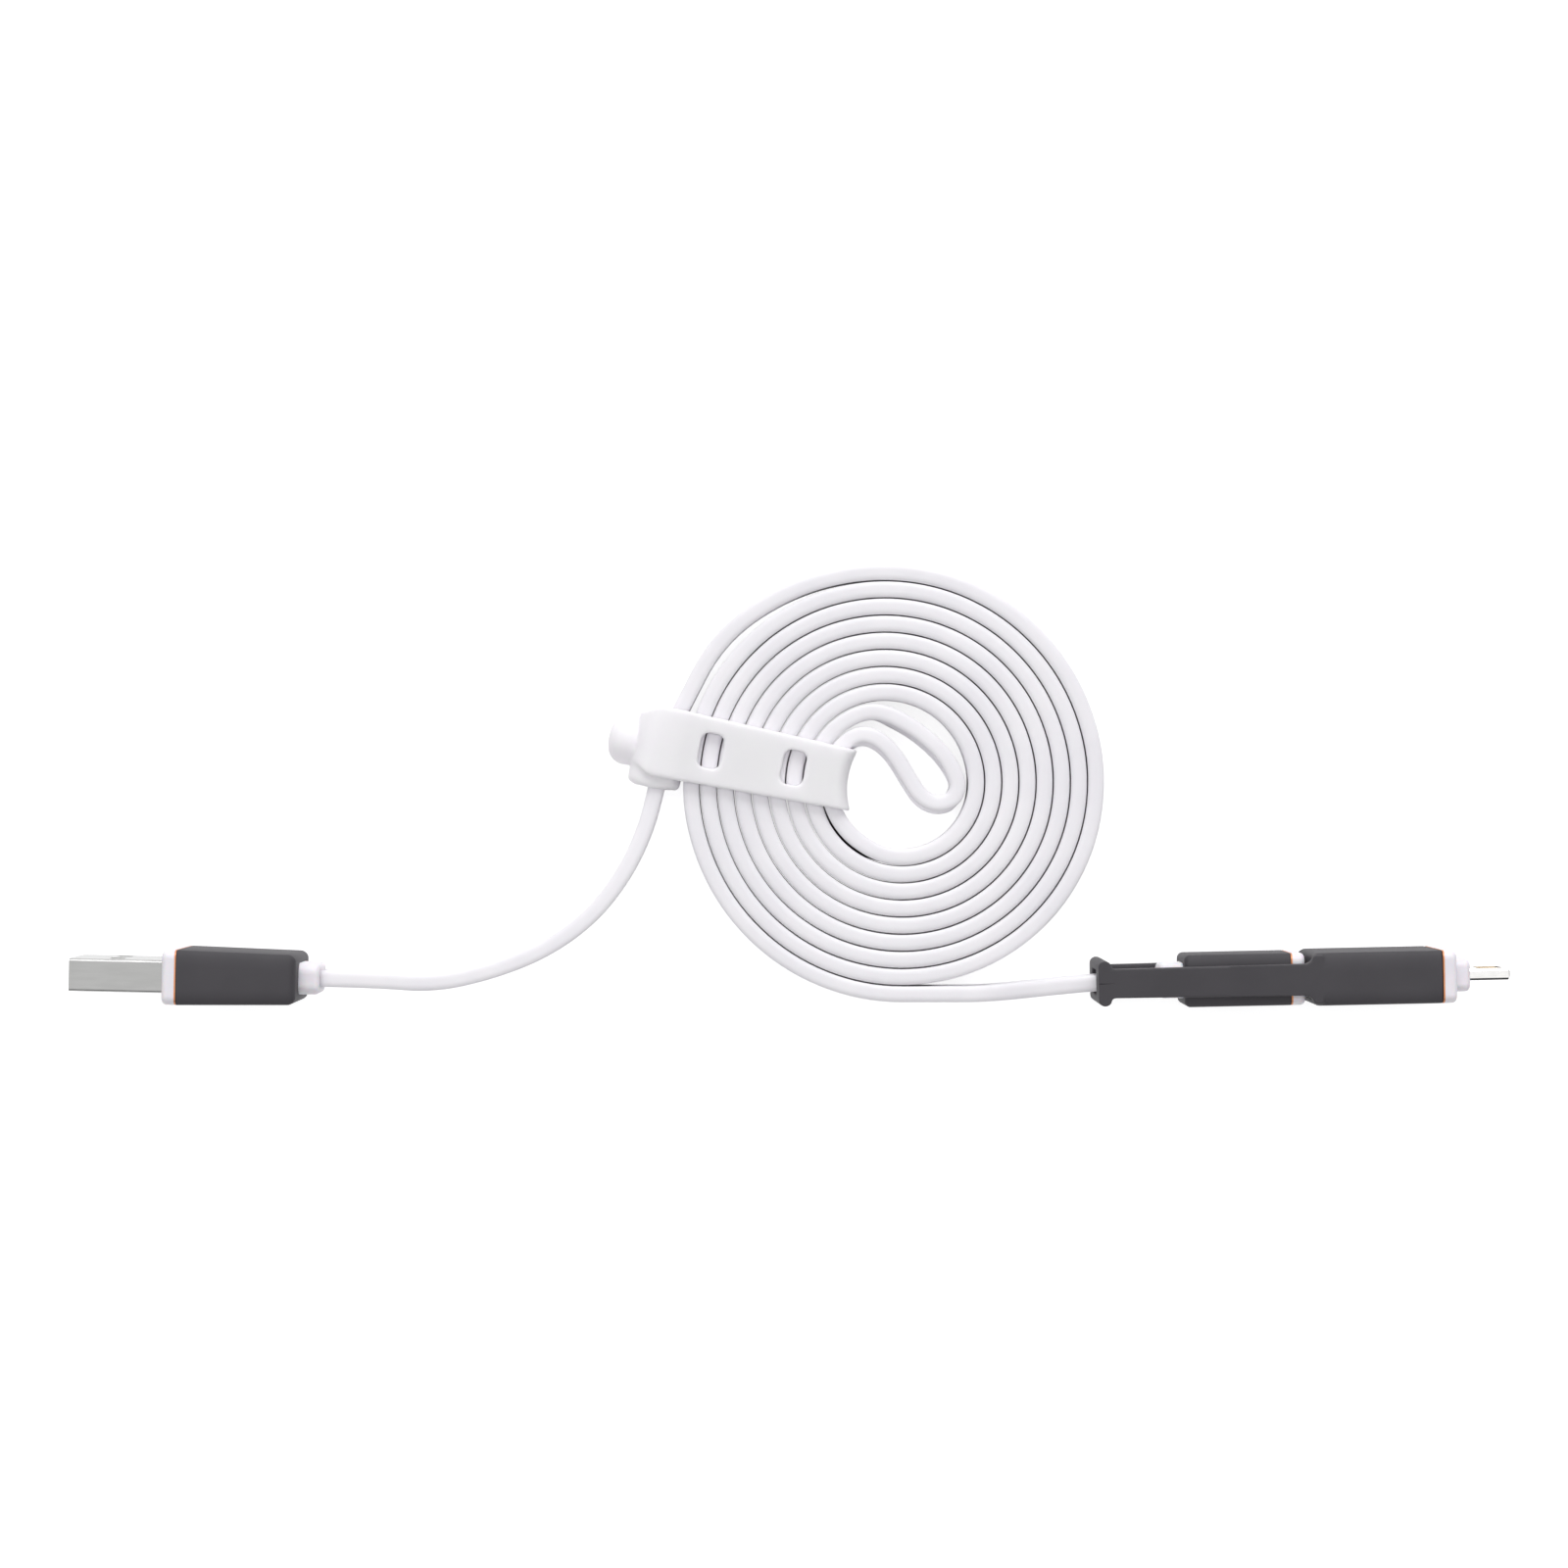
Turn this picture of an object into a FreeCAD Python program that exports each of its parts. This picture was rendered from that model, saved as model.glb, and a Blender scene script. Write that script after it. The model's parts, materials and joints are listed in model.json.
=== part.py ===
"""A two-in-one charging cable: a flat cord wound in a double spiral, a USB-A plug, a micro-type
phone plug, and an adapter on a rubber tether that turns it into a slim reversible phone tip.
Lengths are in millimetres. The cable lies on the plane Z = 0, with both plugs on their narrow edges.
"""
import FreeCAD, Part

import math
import os

import Sketcher
from FreeCAD import Placement, Rotation, Vector

doc = FreeCAD.newDocument("ChargingCable")

# Driving dimensions: alias, value in millimetres or degrees, and what it is.
SIZES = [
    ("cord_width", 5.5, "flat cord, across its wide side"),
    ("cord_thickness", 1.9, "flat cord, across its thin side"),
    ("cord_edge_radius", 0.7, "rounding of the flat cord's four edges"),
    ("turn_pitch", 2.3625, "from one turn of the spiral to the next"),
    ("spiral_start_radius", 10.18, "innermost half turn, to the middle of the cord"),
    ("spiral_left_x", 12.98, "centre of the half turns that lie towards +Y"),
    ("spiral_centre_y", 9.82, "centre of all the half turns"),
    ("spiral_half_turns", 8, "half turns of each arm, past its first"),
    ("outer_arm_angle", 149.5, "where the outer arm leaves its circle, degrees from +X"),
    ("end_straight", 5.5, "straight stretch at each end of the wound cord"),
    ("axis_tilt_usb", 1.25, "lean of the USB-A plug in plan, degrees"),
    ("axis_tilt_phone", 1.2, "lean of the phone plug and its adapter in plan, degrees"),
    ("usb_exit_x", -64.35, "where the cord leaves the USB-A plug"),
    ("usb_exit_y", -16.94, "where the cord leaves the USB-A plug"),
    ("phone_exit_x", 50.35, "where the cord leaves the phone plug"),
    ("phone_exit_y", -17.22, "where the cord leaves the phone plug"),
    ("wide_sleeve_width", 16.0, "long side of the USB-A and adapter sleeves, which stand on edge"),
    ("sleeve_corner", 1.2, "rounding along a sleeve"),
    ("sleeve_back_wall", 0.8, "wall behind the moulding inside a sleeve"),
    ("end_rounding", 0.7, "rounding of the ends of sleeves and caps"),
    ("accent_thickness", 0.2, "coloured line between cap and sleeve"),
    ("fit_gap", 0.05, "all-round gap between parts pushed into each other"),
    ("soft_gap", 0.3, "all-round gap between a part and silicone or rubber beside it"),
    ("wire_count", 4, "conductors in the cord"),
    ("wire_diameter", 0.75, "insulated conductor"),
    ("wire_pitch", 1.2, "conductors side by side in the flat cord"),
    ("wire_room", 0.3, "free space round the conductors inside a plug"),
    ("solder_tail", 2.5, "contact tails behind the shell"),
    ("mould_wall", 0.8, "least thickness of a sleeve round its moulding"),
    ("usb_collar_length", 2.8, "strain relief that shows behind the sleeve"),
    ("usb_collar_thickness", 4.3, "strain relief, thin side"),
    ("usb_collar_width", 8.5, "strain relief, wide side"),
    ("usb_collar_corner", 1.4, "rounding along the strain relief"),
    ("usb_sleeve_length", 16.2, "dark sleeve"),
    ("usb_sleeve_front", 7.5, "dark sleeve, thin side at the cap"),
    ("usb_sleeve_rear", 6.8, "dark sleeve, thin side at the cord"),
    ("usb_cap_length", 1.75, "white front cap"),
    ("usb_shell_width", 12.0, "metal plug, as the USB-A standard has it"),
    ("usb_shell_height", 4.5, "metal plug, as the USB-A standard has it"),
    ("usb_shell_wall", 0.3, "sheet metal"),
    ("usb_shell_corner", 0.5, "outer bend of the sheet metal"),
    ("usb_shell_length", 18.75, "metal plug, whole length"),
    ("usb_shell_exposed", 12.85, "metal plug, in front of the cap"),
    ("usb_tongue_thickness", 1.84, "plastic tongue"),
    ("usb_tongue_setback", 0.6, "tongue behind the mouth"),
    ("usb_base_length", 6.0, "plastic block behind the tongue"),
    ("usb_contact_width", 1.0, "gold contact"),
    ("usb_contact_thickness", 0.25, "gold contact"),
    ("usb_contact_setback", 1.6, "contacts behind the mouth"),
    ("usb_contact_inner", 1.0, "inner contacts, from the middle"),
    ("usb_contact_outer", 3.5, "outer contacts, from the middle"),
    ("usb_window_width", 2.5, "latch window in the metal"),
    ("usb_window_length", 2.0, "latch window in the metal"),
    ("usb_window_from_tip", 5.2, "latch window, from the mouth"),
    ("usb_window_offset", 2.95, "latch window, from the middle"),
    ("phone_collar_length", 3.2, "strain relief that shows behind the sleeve"),
    ("phone_collar_thickness", 4.8, "strain relief, thin side"),
    ("phone_collar_width", 8.0, "strain relief, wide side"),
    ("phone_collar_corner", 1.6, "rounding along the strain relief"),
    ("phone_sleeve_length", 14.5, "dark sleeve"),
    ("phone_sleeve_front", 7.1, "dark sleeve, thin side at the cap"),
    ("phone_sleeve_rear", 7.1, "dark sleeve, thin side at the cord"),
    ("phone_sleeve_width", 11.6, "dark sleeve, wide side"),
    ("phone_cap_length", 1.7, "white front cap"),
    ("phone_shell_width", 6.85, "metal plug, micro type"),
    ("phone_shell_height", 1.8, "metal plug, micro type"),
    ("phone_shell_wall", 0.25, "sheet metal"),
    ("phone_shell_corner", 0.5, "outer bend of the sheet metal"),
    ("phone_shell_length", 11.0, "metal plug, whole length"),
    ("phone_shell_exposed", 5.7, "metal plug, in front of the cap"),
    ("phone_tongue_thickness", 0.5, "plastic tongue"),
    ("phone_tongue_setback", 0.4, "tongue behind the mouth"),
    ("phone_base_length", 3.0, "plastic block behind the tongue"),
    ("phone_contact_width", 0.35, "gold contact"),
    ("phone_contact_thickness", 0.12, "gold contact"),
    ("phone_contact_setback", 0.8, "contacts behind the mouth"),
    ("phone_contact_count", 5, "contacts of the micro type"),
    ("phone_contact_pitch", 0.65, "from contact to contact"),
    ("adapter_gap", 0.9, "between the phone plug's cap and the adapter"),
    ("adapter_length", 17.5, "dark adapter sleeve"),
    ("adapter_thickness", 7.2, "dark adapter sleeve, thin side"),
    ("adapter_rear_wall", 1.6, "adapter sleeve's wall round the socket"),
    ("adapter_cap_length", 1.7, "white front cap"),
    ("nose_length", 2.3, "white nose in front of the cap"),
    ("nose_thickness", 4.45, "white nose, thin side"),
    ("nose_width", 10.0, "white nose, wide side"),
    ("nose_corner", 1.1, "rounding along the nose"),
    ("tip_exposed", 5.7, "metal tip in front of the nose"),
    ("tip_buried", 4.6, "metal tip inside the cap and nose"),
    ("tip_width", 6.7, "metal tip, wide side"),
    ("tip_thickness", 1.6, "metal tip, thin side"),
    ("pad_field_width", 5.3, "recess for the tip's contacts"),
    ("pad_field_length", 3.4, "recess for the tip's contacts"),
    ("pad_field_depth", 0.35, "recess for the tip's contacts"),
    ("pad_field_from_end", 0.8, "recess, from the end of the tip"),
    ("pad_insert_thickness", 0.2, "insulating insert in the recess"),
    ("pad_count", 8, "contacts on each side of the tip"),
    ("pad_pitch", 0.62, "from contact to contact"),
    ("pad_width", 0.38, "tip contact"),
    ("pad_length", 2.6, "tip contact"),
    ("pad_thickness", 0.1, "tip contact"),
    ("tip_end_rounding", 0.4, "rounding of the end of the tip"),
    ("latch_notch_length", 1.0, "notch on each side of the tip"),
    ("latch_notch_depth", 0.25, "notch on each side of the tip"),
    ("latch_notch_from_end", 3.6, "notch, from the end of the tip"),
    ("tether_arm_width", 4.3, "rubber arm at the adapter"),
    ("tether_arm_narrow", 3.95, "rubber arm at the keeper"),
    ("tether_flare", 1.2, "concave rounding where an arm meets the adapter"),
    ("keeper_gap", 7.0, "from the keeper to the phone plug: how far the adapter slides back"),
    ("keeper_thickness", 1.7, "bar that holds the tether on the cord"),
    ("keeper_height", 6.1, "bar, across the arms"),
    ("keeper_corner", 0.5, "rounding of the bar"),
    ("keeper_slot_width", 3.3, "slot for the cord, across its thin side"),
    ("keeper_slot_length", 7.0, "slot for the cord, across its wide side"),
    ("socket_width", 7.5, "socket shell, outside"),
    ("socket_height", 2.5, "socket shell, outside"),
    ("socket_wall", 0.25, "socket shell"),
    ("socket_corner", 0.6, "socket shell, outer bend"),
    ("socket_depth", 5.6, "socket shell"),
    ("socket_base_length", 2.0, "block behind the socket's tongue"),
    ("socket_tongue_width", 4.6, "socket tongue"),
    ("socket_tongue_thickness", 0.45, "socket tongue"),
    ("socket_tongue_setback", 1.6, "socket tongue behind the mouth"),
    ("board_width", 10.4, "adapter's circuit board"),
    ("board_thickness", 0.8, "adapter's circuit board"),
    ("chip_length", 3.0, "chip on the board"),
    ("chip_width", 3.4, "chip on the board"),
    ("chip_thickness", 0.9, "chip on the board"),
    ("strap_x", -15.0, "strap's own origin, at the ring's inner side"),
    ("strap_y", 14.97, "strap's own origin, at the ring's inner side"),
    ("strap_tilt", 11.5, "lean of the strap in plan, degrees"),
    ("strap_thickness", 0.9, "silicone band"),
    ("strap_width_ring", 9.7, "band at the ring"),
    ("strap_width_end", 8.5, "band at the fold in the middle of the coil"),
    ("strap_reach", 23.3, "from the strap's origin to the fold, on its centre line"),
    ("strap_fold_radius", 10.7, "plan radius of the fold, which follows the innermost turn"),
    ("strap_fold_offset", 0.5, "centre of that radius, off the centre line"),
    ("strap_slot_width", 3.2, "buttonhole, along the band"),
    ("strap_slot_length", 4.8, "buttonhole, across the band"),
    ("strap_slot_corner", 1.1, "buttonhole rounding"),
    ("strap_slot_first", 4.05, "first buttonhole that shows, from the strap's origin"),
    ("strap_slot_spacing", 11.6, "from buttonhole to buttonhole"),
    ("strap_slot_offset", 0.1, "buttonholes, off the centre line"),
    ("strap_ramp", 2.0, "stretch in which the band climbs from the coil on to the ring"),
    ("ring_left", 5.6, "ring, from the strap's origin to its left side"),
    ("ring_right", 0.5, "ring, from the strap's origin to its right side"),
    ("ring_wall", 0.6, "ring"),
    ("ring_low_end", 6.3, "ring, from the centre line towards the USB-A plug"),
    ("ring_high_end", 2.6, "ring, from the centre line towards the coil"),
    ("ring_rounding", 2.2, "ring's outer corners"),
    ("button_neck_radius", 1.3, "button's neck"),
    ("button_neck_length", 1.35, "button's neck, through the band"),
    ("button_head_length", 3.6, "button's head, along its axis"),
    ("button_head_radius", 3.2, "button's head"),
    ("button_rounding", 1.8, "rounding of the button's head"),
    ("button_offset", 0.9, "button's axis, off the centre line towards the USB-A plug"),
    ("tail_bottom", 0.5, "lower end of the band's tail, above the table"),
]

# The cord's two free stretches: points of the route in millimetres, from the wound part to each plug.
# The plugs' own exit points close them. The wound part's own loop is in HAIRPIN.
USB_ROUTE = [
    (-17.00, 16.22, 3.95),
    (-18.45, 9.60, 4.10),
    (-20.15, 3.00, 4.45),
    (-23.40, -3.50, 4.90),
    (-28.00, -9.10, 5.40),
    (-33.90, -13.20, 6.00),
    (-41.00, -16.00, 6.75),
    (-48.90, -17.75, 7.55),
    (-56.60, -17.11, 8.00),
]
PHONE_ROUTE = [
    (27.20, -19.26, 3.95),
    (37.20, -17.95, 7.70),
    (44.00, -17.35, 8.00),
]
# The wound cord's turning loop in the middle of the coil, in the plane of the coil.
HAIRPIN = [
    (2.80, 11.25),
    (3.64, 14.18),
    (5.44, 16.85),
    (7.56, 18.50),
    (9.75, 19.55),
    (11.80, 19.53),
    (15.29, 17.83),
    (18.08, 15.91),
    (20.80, 13.38),
    (22.66, 11.00),
    (23.16, 9.23),
    (22.20, 7.24),
    (20.08, 6.68),
    (17.98, 7.66),
    (16.54, 9.80),
    (14.09, 13.95),
    (11.59, 16.12),
    (9.02, 16.44),
    (6.43, 14.35),
    (5.17, 11.36),
]
# The share of the shorter run that an arc takes where two runs of a free stretch meet.
ARC_SHARE = 0.45
# How far the middle of a quarter circle lies from where its two tangents are, in radii.
KNEE = 1 - math.sqrt(0.5)
# Two coordinates closer than this are the same.
SAME = 1e-6


class Dim:
    """A size with its value and the spreadsheet expression that gives it."""

    def __init__(self, value, text):
        self.value, self.text = float(value), text

    def __add__(self, other):
        other = dim(other)
        return Dim(self.value + other.value, f"({self.text} + {other.text})")

    def __sub__(self, other):
        other = dim(other)
        return Dim(self.value - other.value, f"({self.text} - {other.text})")

    def __mul__(self, other):
        other = dim(other)
        return Dim(self.value * other.value, f"({self.text} * {other.text})")

    def __rmul__(self, other):
        return self * other

    def __truediv__(self, other):
        other = dim(other)
        return Dim(self.value / other.value, f"({self.text} / {other.text})")

    def __neg__(self):
        return Dim(-self.value, f"(0 - {self.text})")


def dim(value):
    """A Dim as it is, or a plain number as one."""
    return value if isinstance(value, Dim) else Dim(value, repr(float(value)))


def make_sheet():
    """The spreadsheet of driving dimensions, one row each, and a Dim for each alias."""
    sheet = doc.addObject("Spreadsheet::Sheet", "Sizes")
    dims = {}
    for row, (alias, value, meaning) in enumerate(SIZES, start=1):
        sheet.set(f"A{row}", meaning)
        sheet.set(f"B{row}", str(value))
        sheet.setAlias(f"B{row}", alias)
        dims[alias] = Dim(value, f"Sizes.{alias}")
    doc.recompute()
    return dims


D = make_sheet()


def num(alias):
    """The value of a size."""
    return D[alias].value


NODES = []


def new_body(label, frame):
    """A PartDesign body in one of the assembly's frames."""
    body = doc.addObject("PartDesign::Body", label)
    body.Label = label
    body.Placement = frame
    NODES.append(body)
    return body


def new_feature(label, shape, frame):
    """A sub-part whose shape is made directly."""
    feature = doc.addObject("Part::Feature", label)
    feature.Label = label
    feature.Shape = shape
    feature.Placement = frame
    NODES.append(feature)
    return feature


def new_sketch(body, plane, offset):
    """A sketch on one of the body's own planes, moved along that plane's normal."""
    origin_plane = [f for f in body.Origin.OriginFeatures if f.Role == plane][0]
    sketch = body.newObject("Sketcher::SketchObject", "Sketch")
    sketch.AttachmentSupport = (origin_plane, [""])
    sketch.MapMode = "FlatFace"
    offset = dim(offset)
    sketch.AttachmentOffset = Placement(Vector(0, 0, offset.value), Rotation())
    sketch.setExpression("AttachmentOffset.Base.z", offset.text)
    return sketch


def hold(sketch, axis, geometry, point, size):
    """Fixes one coordinate of a point of the sketch to a size."""
    size = dim(size)
    index = sketch.addConstraint(
        Sketcher.Constraint(f"Distance{axis}", -1, 1, geometry, point, size.value)
    )
    sketch.setExpression(f"Constraints[{index}]", size.text)


def rectangle(sketch, left, right, low, high, corner=None):
    """A rectangle between four coordinates, with rounded corners if a radius is given."""
    x0, x1, y0, y1 = dim(left).value, dim(right).value, dim(low).value, dim(high).value
    r = dim(corner).value if corner is not None else 0.0
    first = sketch.GeometryCount
    sides = [
        ((x0 + r, y0), (x1 - r, y0)),
        ((x1, y0 + r), (x1, y1 - r)),
        ((x1 - r, y1), (x0 + r, y1)),
        ((x0, y1 - r), (x0, y0 + r)),
    ]
    for start, end in sides:
        sketch.addGeometry(Part.LineSegment(Vector(*start, 0), Vector(*end, 0)))
    bottom, right_side, top, left_side = range(first, first + 4)
    joined = [bottom, right_side, top, left_side]
    for side in (bottom, top):
        sketch.addConstraint(Sketcher.Constraint("Horizontal", side))
    for side in (right_side, left_side):
        sketch.addConstraint(Sketcher.Constraint("Vertical", side))
    if corner is None:
        for one, other in zip(joined, joined[1:] + joined[:1]):
            sketch.addConstraint(Sketcher.Constraint("Coincident", one, 2, other, 1))
    else:
        centres = [(x1 - r, y0 + r), (x1 - r, y1 - r), (x0 + r, y1 - r), (x0 + r, y0 + r)]
        for quarter, centre in enumerate(centres):
            circle = Part.Circle(Vector(*centre, 0), Vector(0, 0, 1), r)
            start = math.radians(90 * quarter - 90)
            arc = sketch.addGeometry(Part.ArcOfCircle(circle, start, start + math.pi / 2))
            one, other = joined[quarter], joined[(quarter + 1) % 4]
            sketch.addConstraint(Sketcher.Constraint("Tangent", one, 2, arc, 1))
            sketch.addConstraint(Sketcher.Constraint("Tangent", arc, 2, other, 1))
            if quarter:
                sketch.addConstraint(Sketcher.Constraint("Equal", arc, arc - 1))
            else:
                index = sketch.addConstraint(Sketcher.Constraint("Radius", arc, r))
                sketch.setExpression(f"Constraints[{index}]", dim(corner).text)
    hold(sketch, "Y", bottom, 1, low)
    hold(sketch, "X", right_side, 1, right)
    hold(sketch, "Y", top, 1, high)
    hold(sketch, "X", left_side, 1, left)


def outline(sketch, corners):
    """A closed outline of straight sides through corners given as pairs of sizes."""
    points = [Vector(dim(a).value, dim(b).value, 0) for a, b in corners]
    first = sketch.GeometryCount
    count = len(points)
    for i in range(count):
        sketch.addGeometry(Part.LineSegment(points[i], points[(i + 1) % count]))
    for i in range(count):
        following = first + (i + 1) % count
        sketch.addConstraint(Sketcher.Constraint("Coincident", first + i, 2, following, 1))
    for i, (a, b) in enumerate(corners):
        hold(sketch, "X", first + i, 1, a)
        hold(sketch, "Y", first + i, 1, b)


def centred(sketch, across, up, corner=None):
    """A rectangle about the middle of the sketch."""
    rectangle(sketch, -across / 2, across / 2, -up / 2, up / 2, corner)


def pad(body, sketch, length):
    """Adds material from the sketch along its normal."""
    feature = body.newObject("PartDesign::Pad", "Pad")
    feature.Profile = sketch
    feature.Length = dim(length).value
    feature.setExpression("Length", dim(length).text)
    body.Tip = feature
    doc.recompute()


def pocket(body, sketch, length):
    """Cuts material from the sketch along its normal, and checks that it does cut."""
    before = body.Shape.Volume
    feature = body.newObject("PartDesign::Pocket", "Pocket")
    feature.Profile = sketch
    feature.Length = dim(length).value
    feature.setExpression("Length", dim(length).text)
    feature.Reversed = True
    body.Tip = feature
    doc.recompute()
    if not body.Shape.Volume < before:
        raise RuntimeError(f"{body.Label}: a pocket cuts nothing")


def bar(body, start, length, across, up, corner=None):
    """A pad along the plug's axis, centred on it."""
    sketch = new_sketch(body, "YZ_Plane", start)
    centred(sketch, across, up, corner)
    pad(body, sketch, length)


def hole(body, start, length, across, up, corner=None):
    """A pocket along the plug's axis, centred on it."""
    sketch = new_sketch(body, "YZ_Plane", start)
    centred(sketch, across, up, corner)
    pocket(body, sketch, length)


def edges_at(shape, axis, value):
    """Names of the edges that lie in the plane where one coordinate has a value."""
    names = []
    for index, edge in enumerate(shape.Edges, start=1):
        ends = [edge.valueAt(p) for p in (edge.FirstParameter, edge.LastParameter)]
        middle = edge.valueAt((edge.FirstParameter + edge.LastParameter) / 2)
        if all(abs(point[axis] - value) < SAME for point in ends + [middle]):
            names.append(f"Edge{index}")
    return names


def outer_border(shape, where):
    """Names of the edges round the face that lies across the X axis at one place."""
    faces = [f for f in shape.Faces if all(abs(v.X - where) < SAME for v in f.Vertexes)]
    border = faces[0].OuterWire.Edges
    return [
        f"Edge{index}"
        for index, edge in enumerate(shape.Edges, start=1)
        if any(edge.isSame(other) for other in border)
    ]


def round_edges(body, names, radius):
    """A fillet of named edges of the body as it is now."""
    base = body.Tip
    feature = body.newObject("PartDesign::Fillet", "Fillet")
    feature.Base = (base, names)
    feature.Radius = radius.value
    feature.setExpression("Radius", radius.text)
    body.Tip = feature
    doc.recompute()


def round_end(body, where, radius):
    """Rounds the outer border of the face that lies across the axis at one place."""
    round_edges(body, outer_border(body.Tip.Shape, dim(where).value), radius)


AXIS_HEIGHT = D["wide_sleeve_width"] / 2
USB_FRAME = Placement(
    Vector(num("usb_exit_x"), num("usb_exit_y"), AXIS_HEIGHT.value),
    Rotation(Vector(0, 0, 1), 180 - num("axis_tilt_usb")),
)
PHONE_FRAME = Placement(
    Vector(num("phone_exit_x"), num("phone_exit_y"), AXIS_HEIGHT.value),
    Rotation(Vector(0, 0, 1), num("axis_tilt_phone")),
)
STRAP_FRAME = Placement(
    Vector(num("strap_x"), num("strap_y"), 0),
    Rotation(Vector(0, 0, 1), -num("strap_tilt")),
)


def in_row(pitch, count):
    """Evenly spaced places about the middle."""
    whole = int(count.value)
    return [pitch * (index - (whole - 1) / 2) for index in range(whole)]


def contact_places(prefix):
    """Where a plug's contacts lie across it, from its middle."""
    if prefix == "usb":
        inner, outer = D["usb_contact_inner"], D["usb_contact_outer"]
        return [-outer, -inner, inner, outer]
    return in_row(D["phone_contact_pitch"], D["phone_contact_count"])


def plug_shell(prefix, label, frame, start):
    """The metal mouth of a plug: a rectangular tube folded from sheet."""
    width, height = D[f"{prefix}_shell_width"], D[f"{prefix}_shell_height"]
    wall, corner = D[f"{prefix}_shell_wall"], D[f"{prefix}_shell_corner"]
    length = D[f"{prefix}_shell_length"]
    body = new_body(label, frame)
    bar(body, start, length, height, width, corner)
    hole(body, start, length, height - 2 * wall, width - 2 * wall, corner - wall)
    if prefix == "usb":
        tip = start + length
        sketch = new_sketch(body, "XZ_Plane", -height / 2)
        middle = D["usb_window_offset"]
        half = D["usb_window_width"] / 2
        near = tip - D["usb_window_from_tip"] - D["usb_window_length"]
        far = tip - D["usb_window_from_tip"]
        for side in (-1, 1):
            rectangle(sketch, near, far, side * middle - half, side * middle + half)
        pocket(body, sketch, height)


def plug_tongue(prefix, label, frame, start):
    """The insulating tongue on one wall of the mouth, with the block that holds it."""
    width = D[f"{prefix}_shell_width"] - 2 * D[f"{prefix}_shell_wall"] - 2 * D["fit_gap"]
    inner = D[f"{prefix}_shell_height"] - 2 * D[f"{prefix}_shell_wall"] - 2 * D["fit_gap"]
    thick = D[f"{prefix}_tongue_thickness"]
    length = D[f"{prefix}_shell_length"] - D[f"{prefix}_tongue_setback"]
    bend = D[f"{prefix}_shell_corner"] - D[f"{prefix}_shell_wall"]
    half = width / 2 - bend
    body = new_body(label, frame)
    sketch = new_sketch(body, "YZ_Plane", start)
    rectangle(sketch, -inner / 2, -inner / 2 + thick, -half, half)
    pad(body, sketch, length)
    bar(body, start, D[f"{prefix}_base_length"], inner, width, bend)
    sketch = new_sketch(body, "YZ_Plane", start)
    contact_half = D[f"{prefix}_contact_width"] / 2
    face = -inner / 2 + thick
    for place in contact_places(prefix):
        top = face + D[f"{prefix}_contact_thickness"]
        rectangle(sketch, face, top, place - contact_half, place + contact_half)
    pocket(body, sketch, D[f"{prefix}_base_length"])


def plug_contacts(prefix, label, frame, start):
    """The row of gold contacts, as separate strips that run through the block to solder tails."""
    inner = D[f"{prefix}_shell_height"] - 2 * D[f"{prefix}_shell_wall"] - 2 * D["fit_gap"]
    face = -inner.value / 2 + num(f"{prefix}_tongue_thickness")
    tail = start.value - num("solder_tail")
    tip = start.value + num(f"{prefix}_shell_length") - num(f"{prefix}_contact_setback")
    width, thick = num(f"{prefix}_contact_width"), num(f"{prefix}_contact_thickness")
    strips = [
        Part.makeBox(
            tip - tail, thick, width, Vector(tail, face, place.value - width / 2)
        )
        for place in contact_places(prefix)
    ]
    new_feature(label, Part.makeCompound(strips), frame)


def plug_wires(prefix, label, frame, start):
    """The conductors, side by side in the cord, that fan out to the outer solder tails."""
    inner = D[f"{prefix}_shell_height"] - 2 * D[f"{prefix}_shell_wall"] - 2 * D["fit_gap"]
    face = -inner.value / 2 + num(f"{prefix}_tongue_thickness")
    level = face + num(f"{prefix}_contact_thickness") / 2
    spread = in_row(D["wire_pitch"], D["wire_count"])
    tails = [place.value for place in contact_places(prefix)]
    each_side = len(spread) // 2
    tails = tails[:each_side] + tails[-each_side:]
    neck = num(f"{prefix}_collar_length") + num("sleeve_back_wall")
    reach = start.value - num("solder_tail")
    radius = min(num("wire_diameter"), tails[1] - tails[0] - num("fit_gap")) / 2
    wires = []
    for wide, tail in zip(spread, tails):
        corners = [Vector(0, level, wide.value), Vector(neck, level, wide.value)]
        corners.append(Vector(reach - radius, level, tail))
        path = Part.Wire(eased(corners)[0])
        section = Part.Circle(corners[0], Vector(1, 0, 0), radius)
        wires.append(path.makePipeShell([Part.Wire(section.toShape())], True, False))
    new_feature(label, Part.makeCompound(wires), frame)


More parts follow.
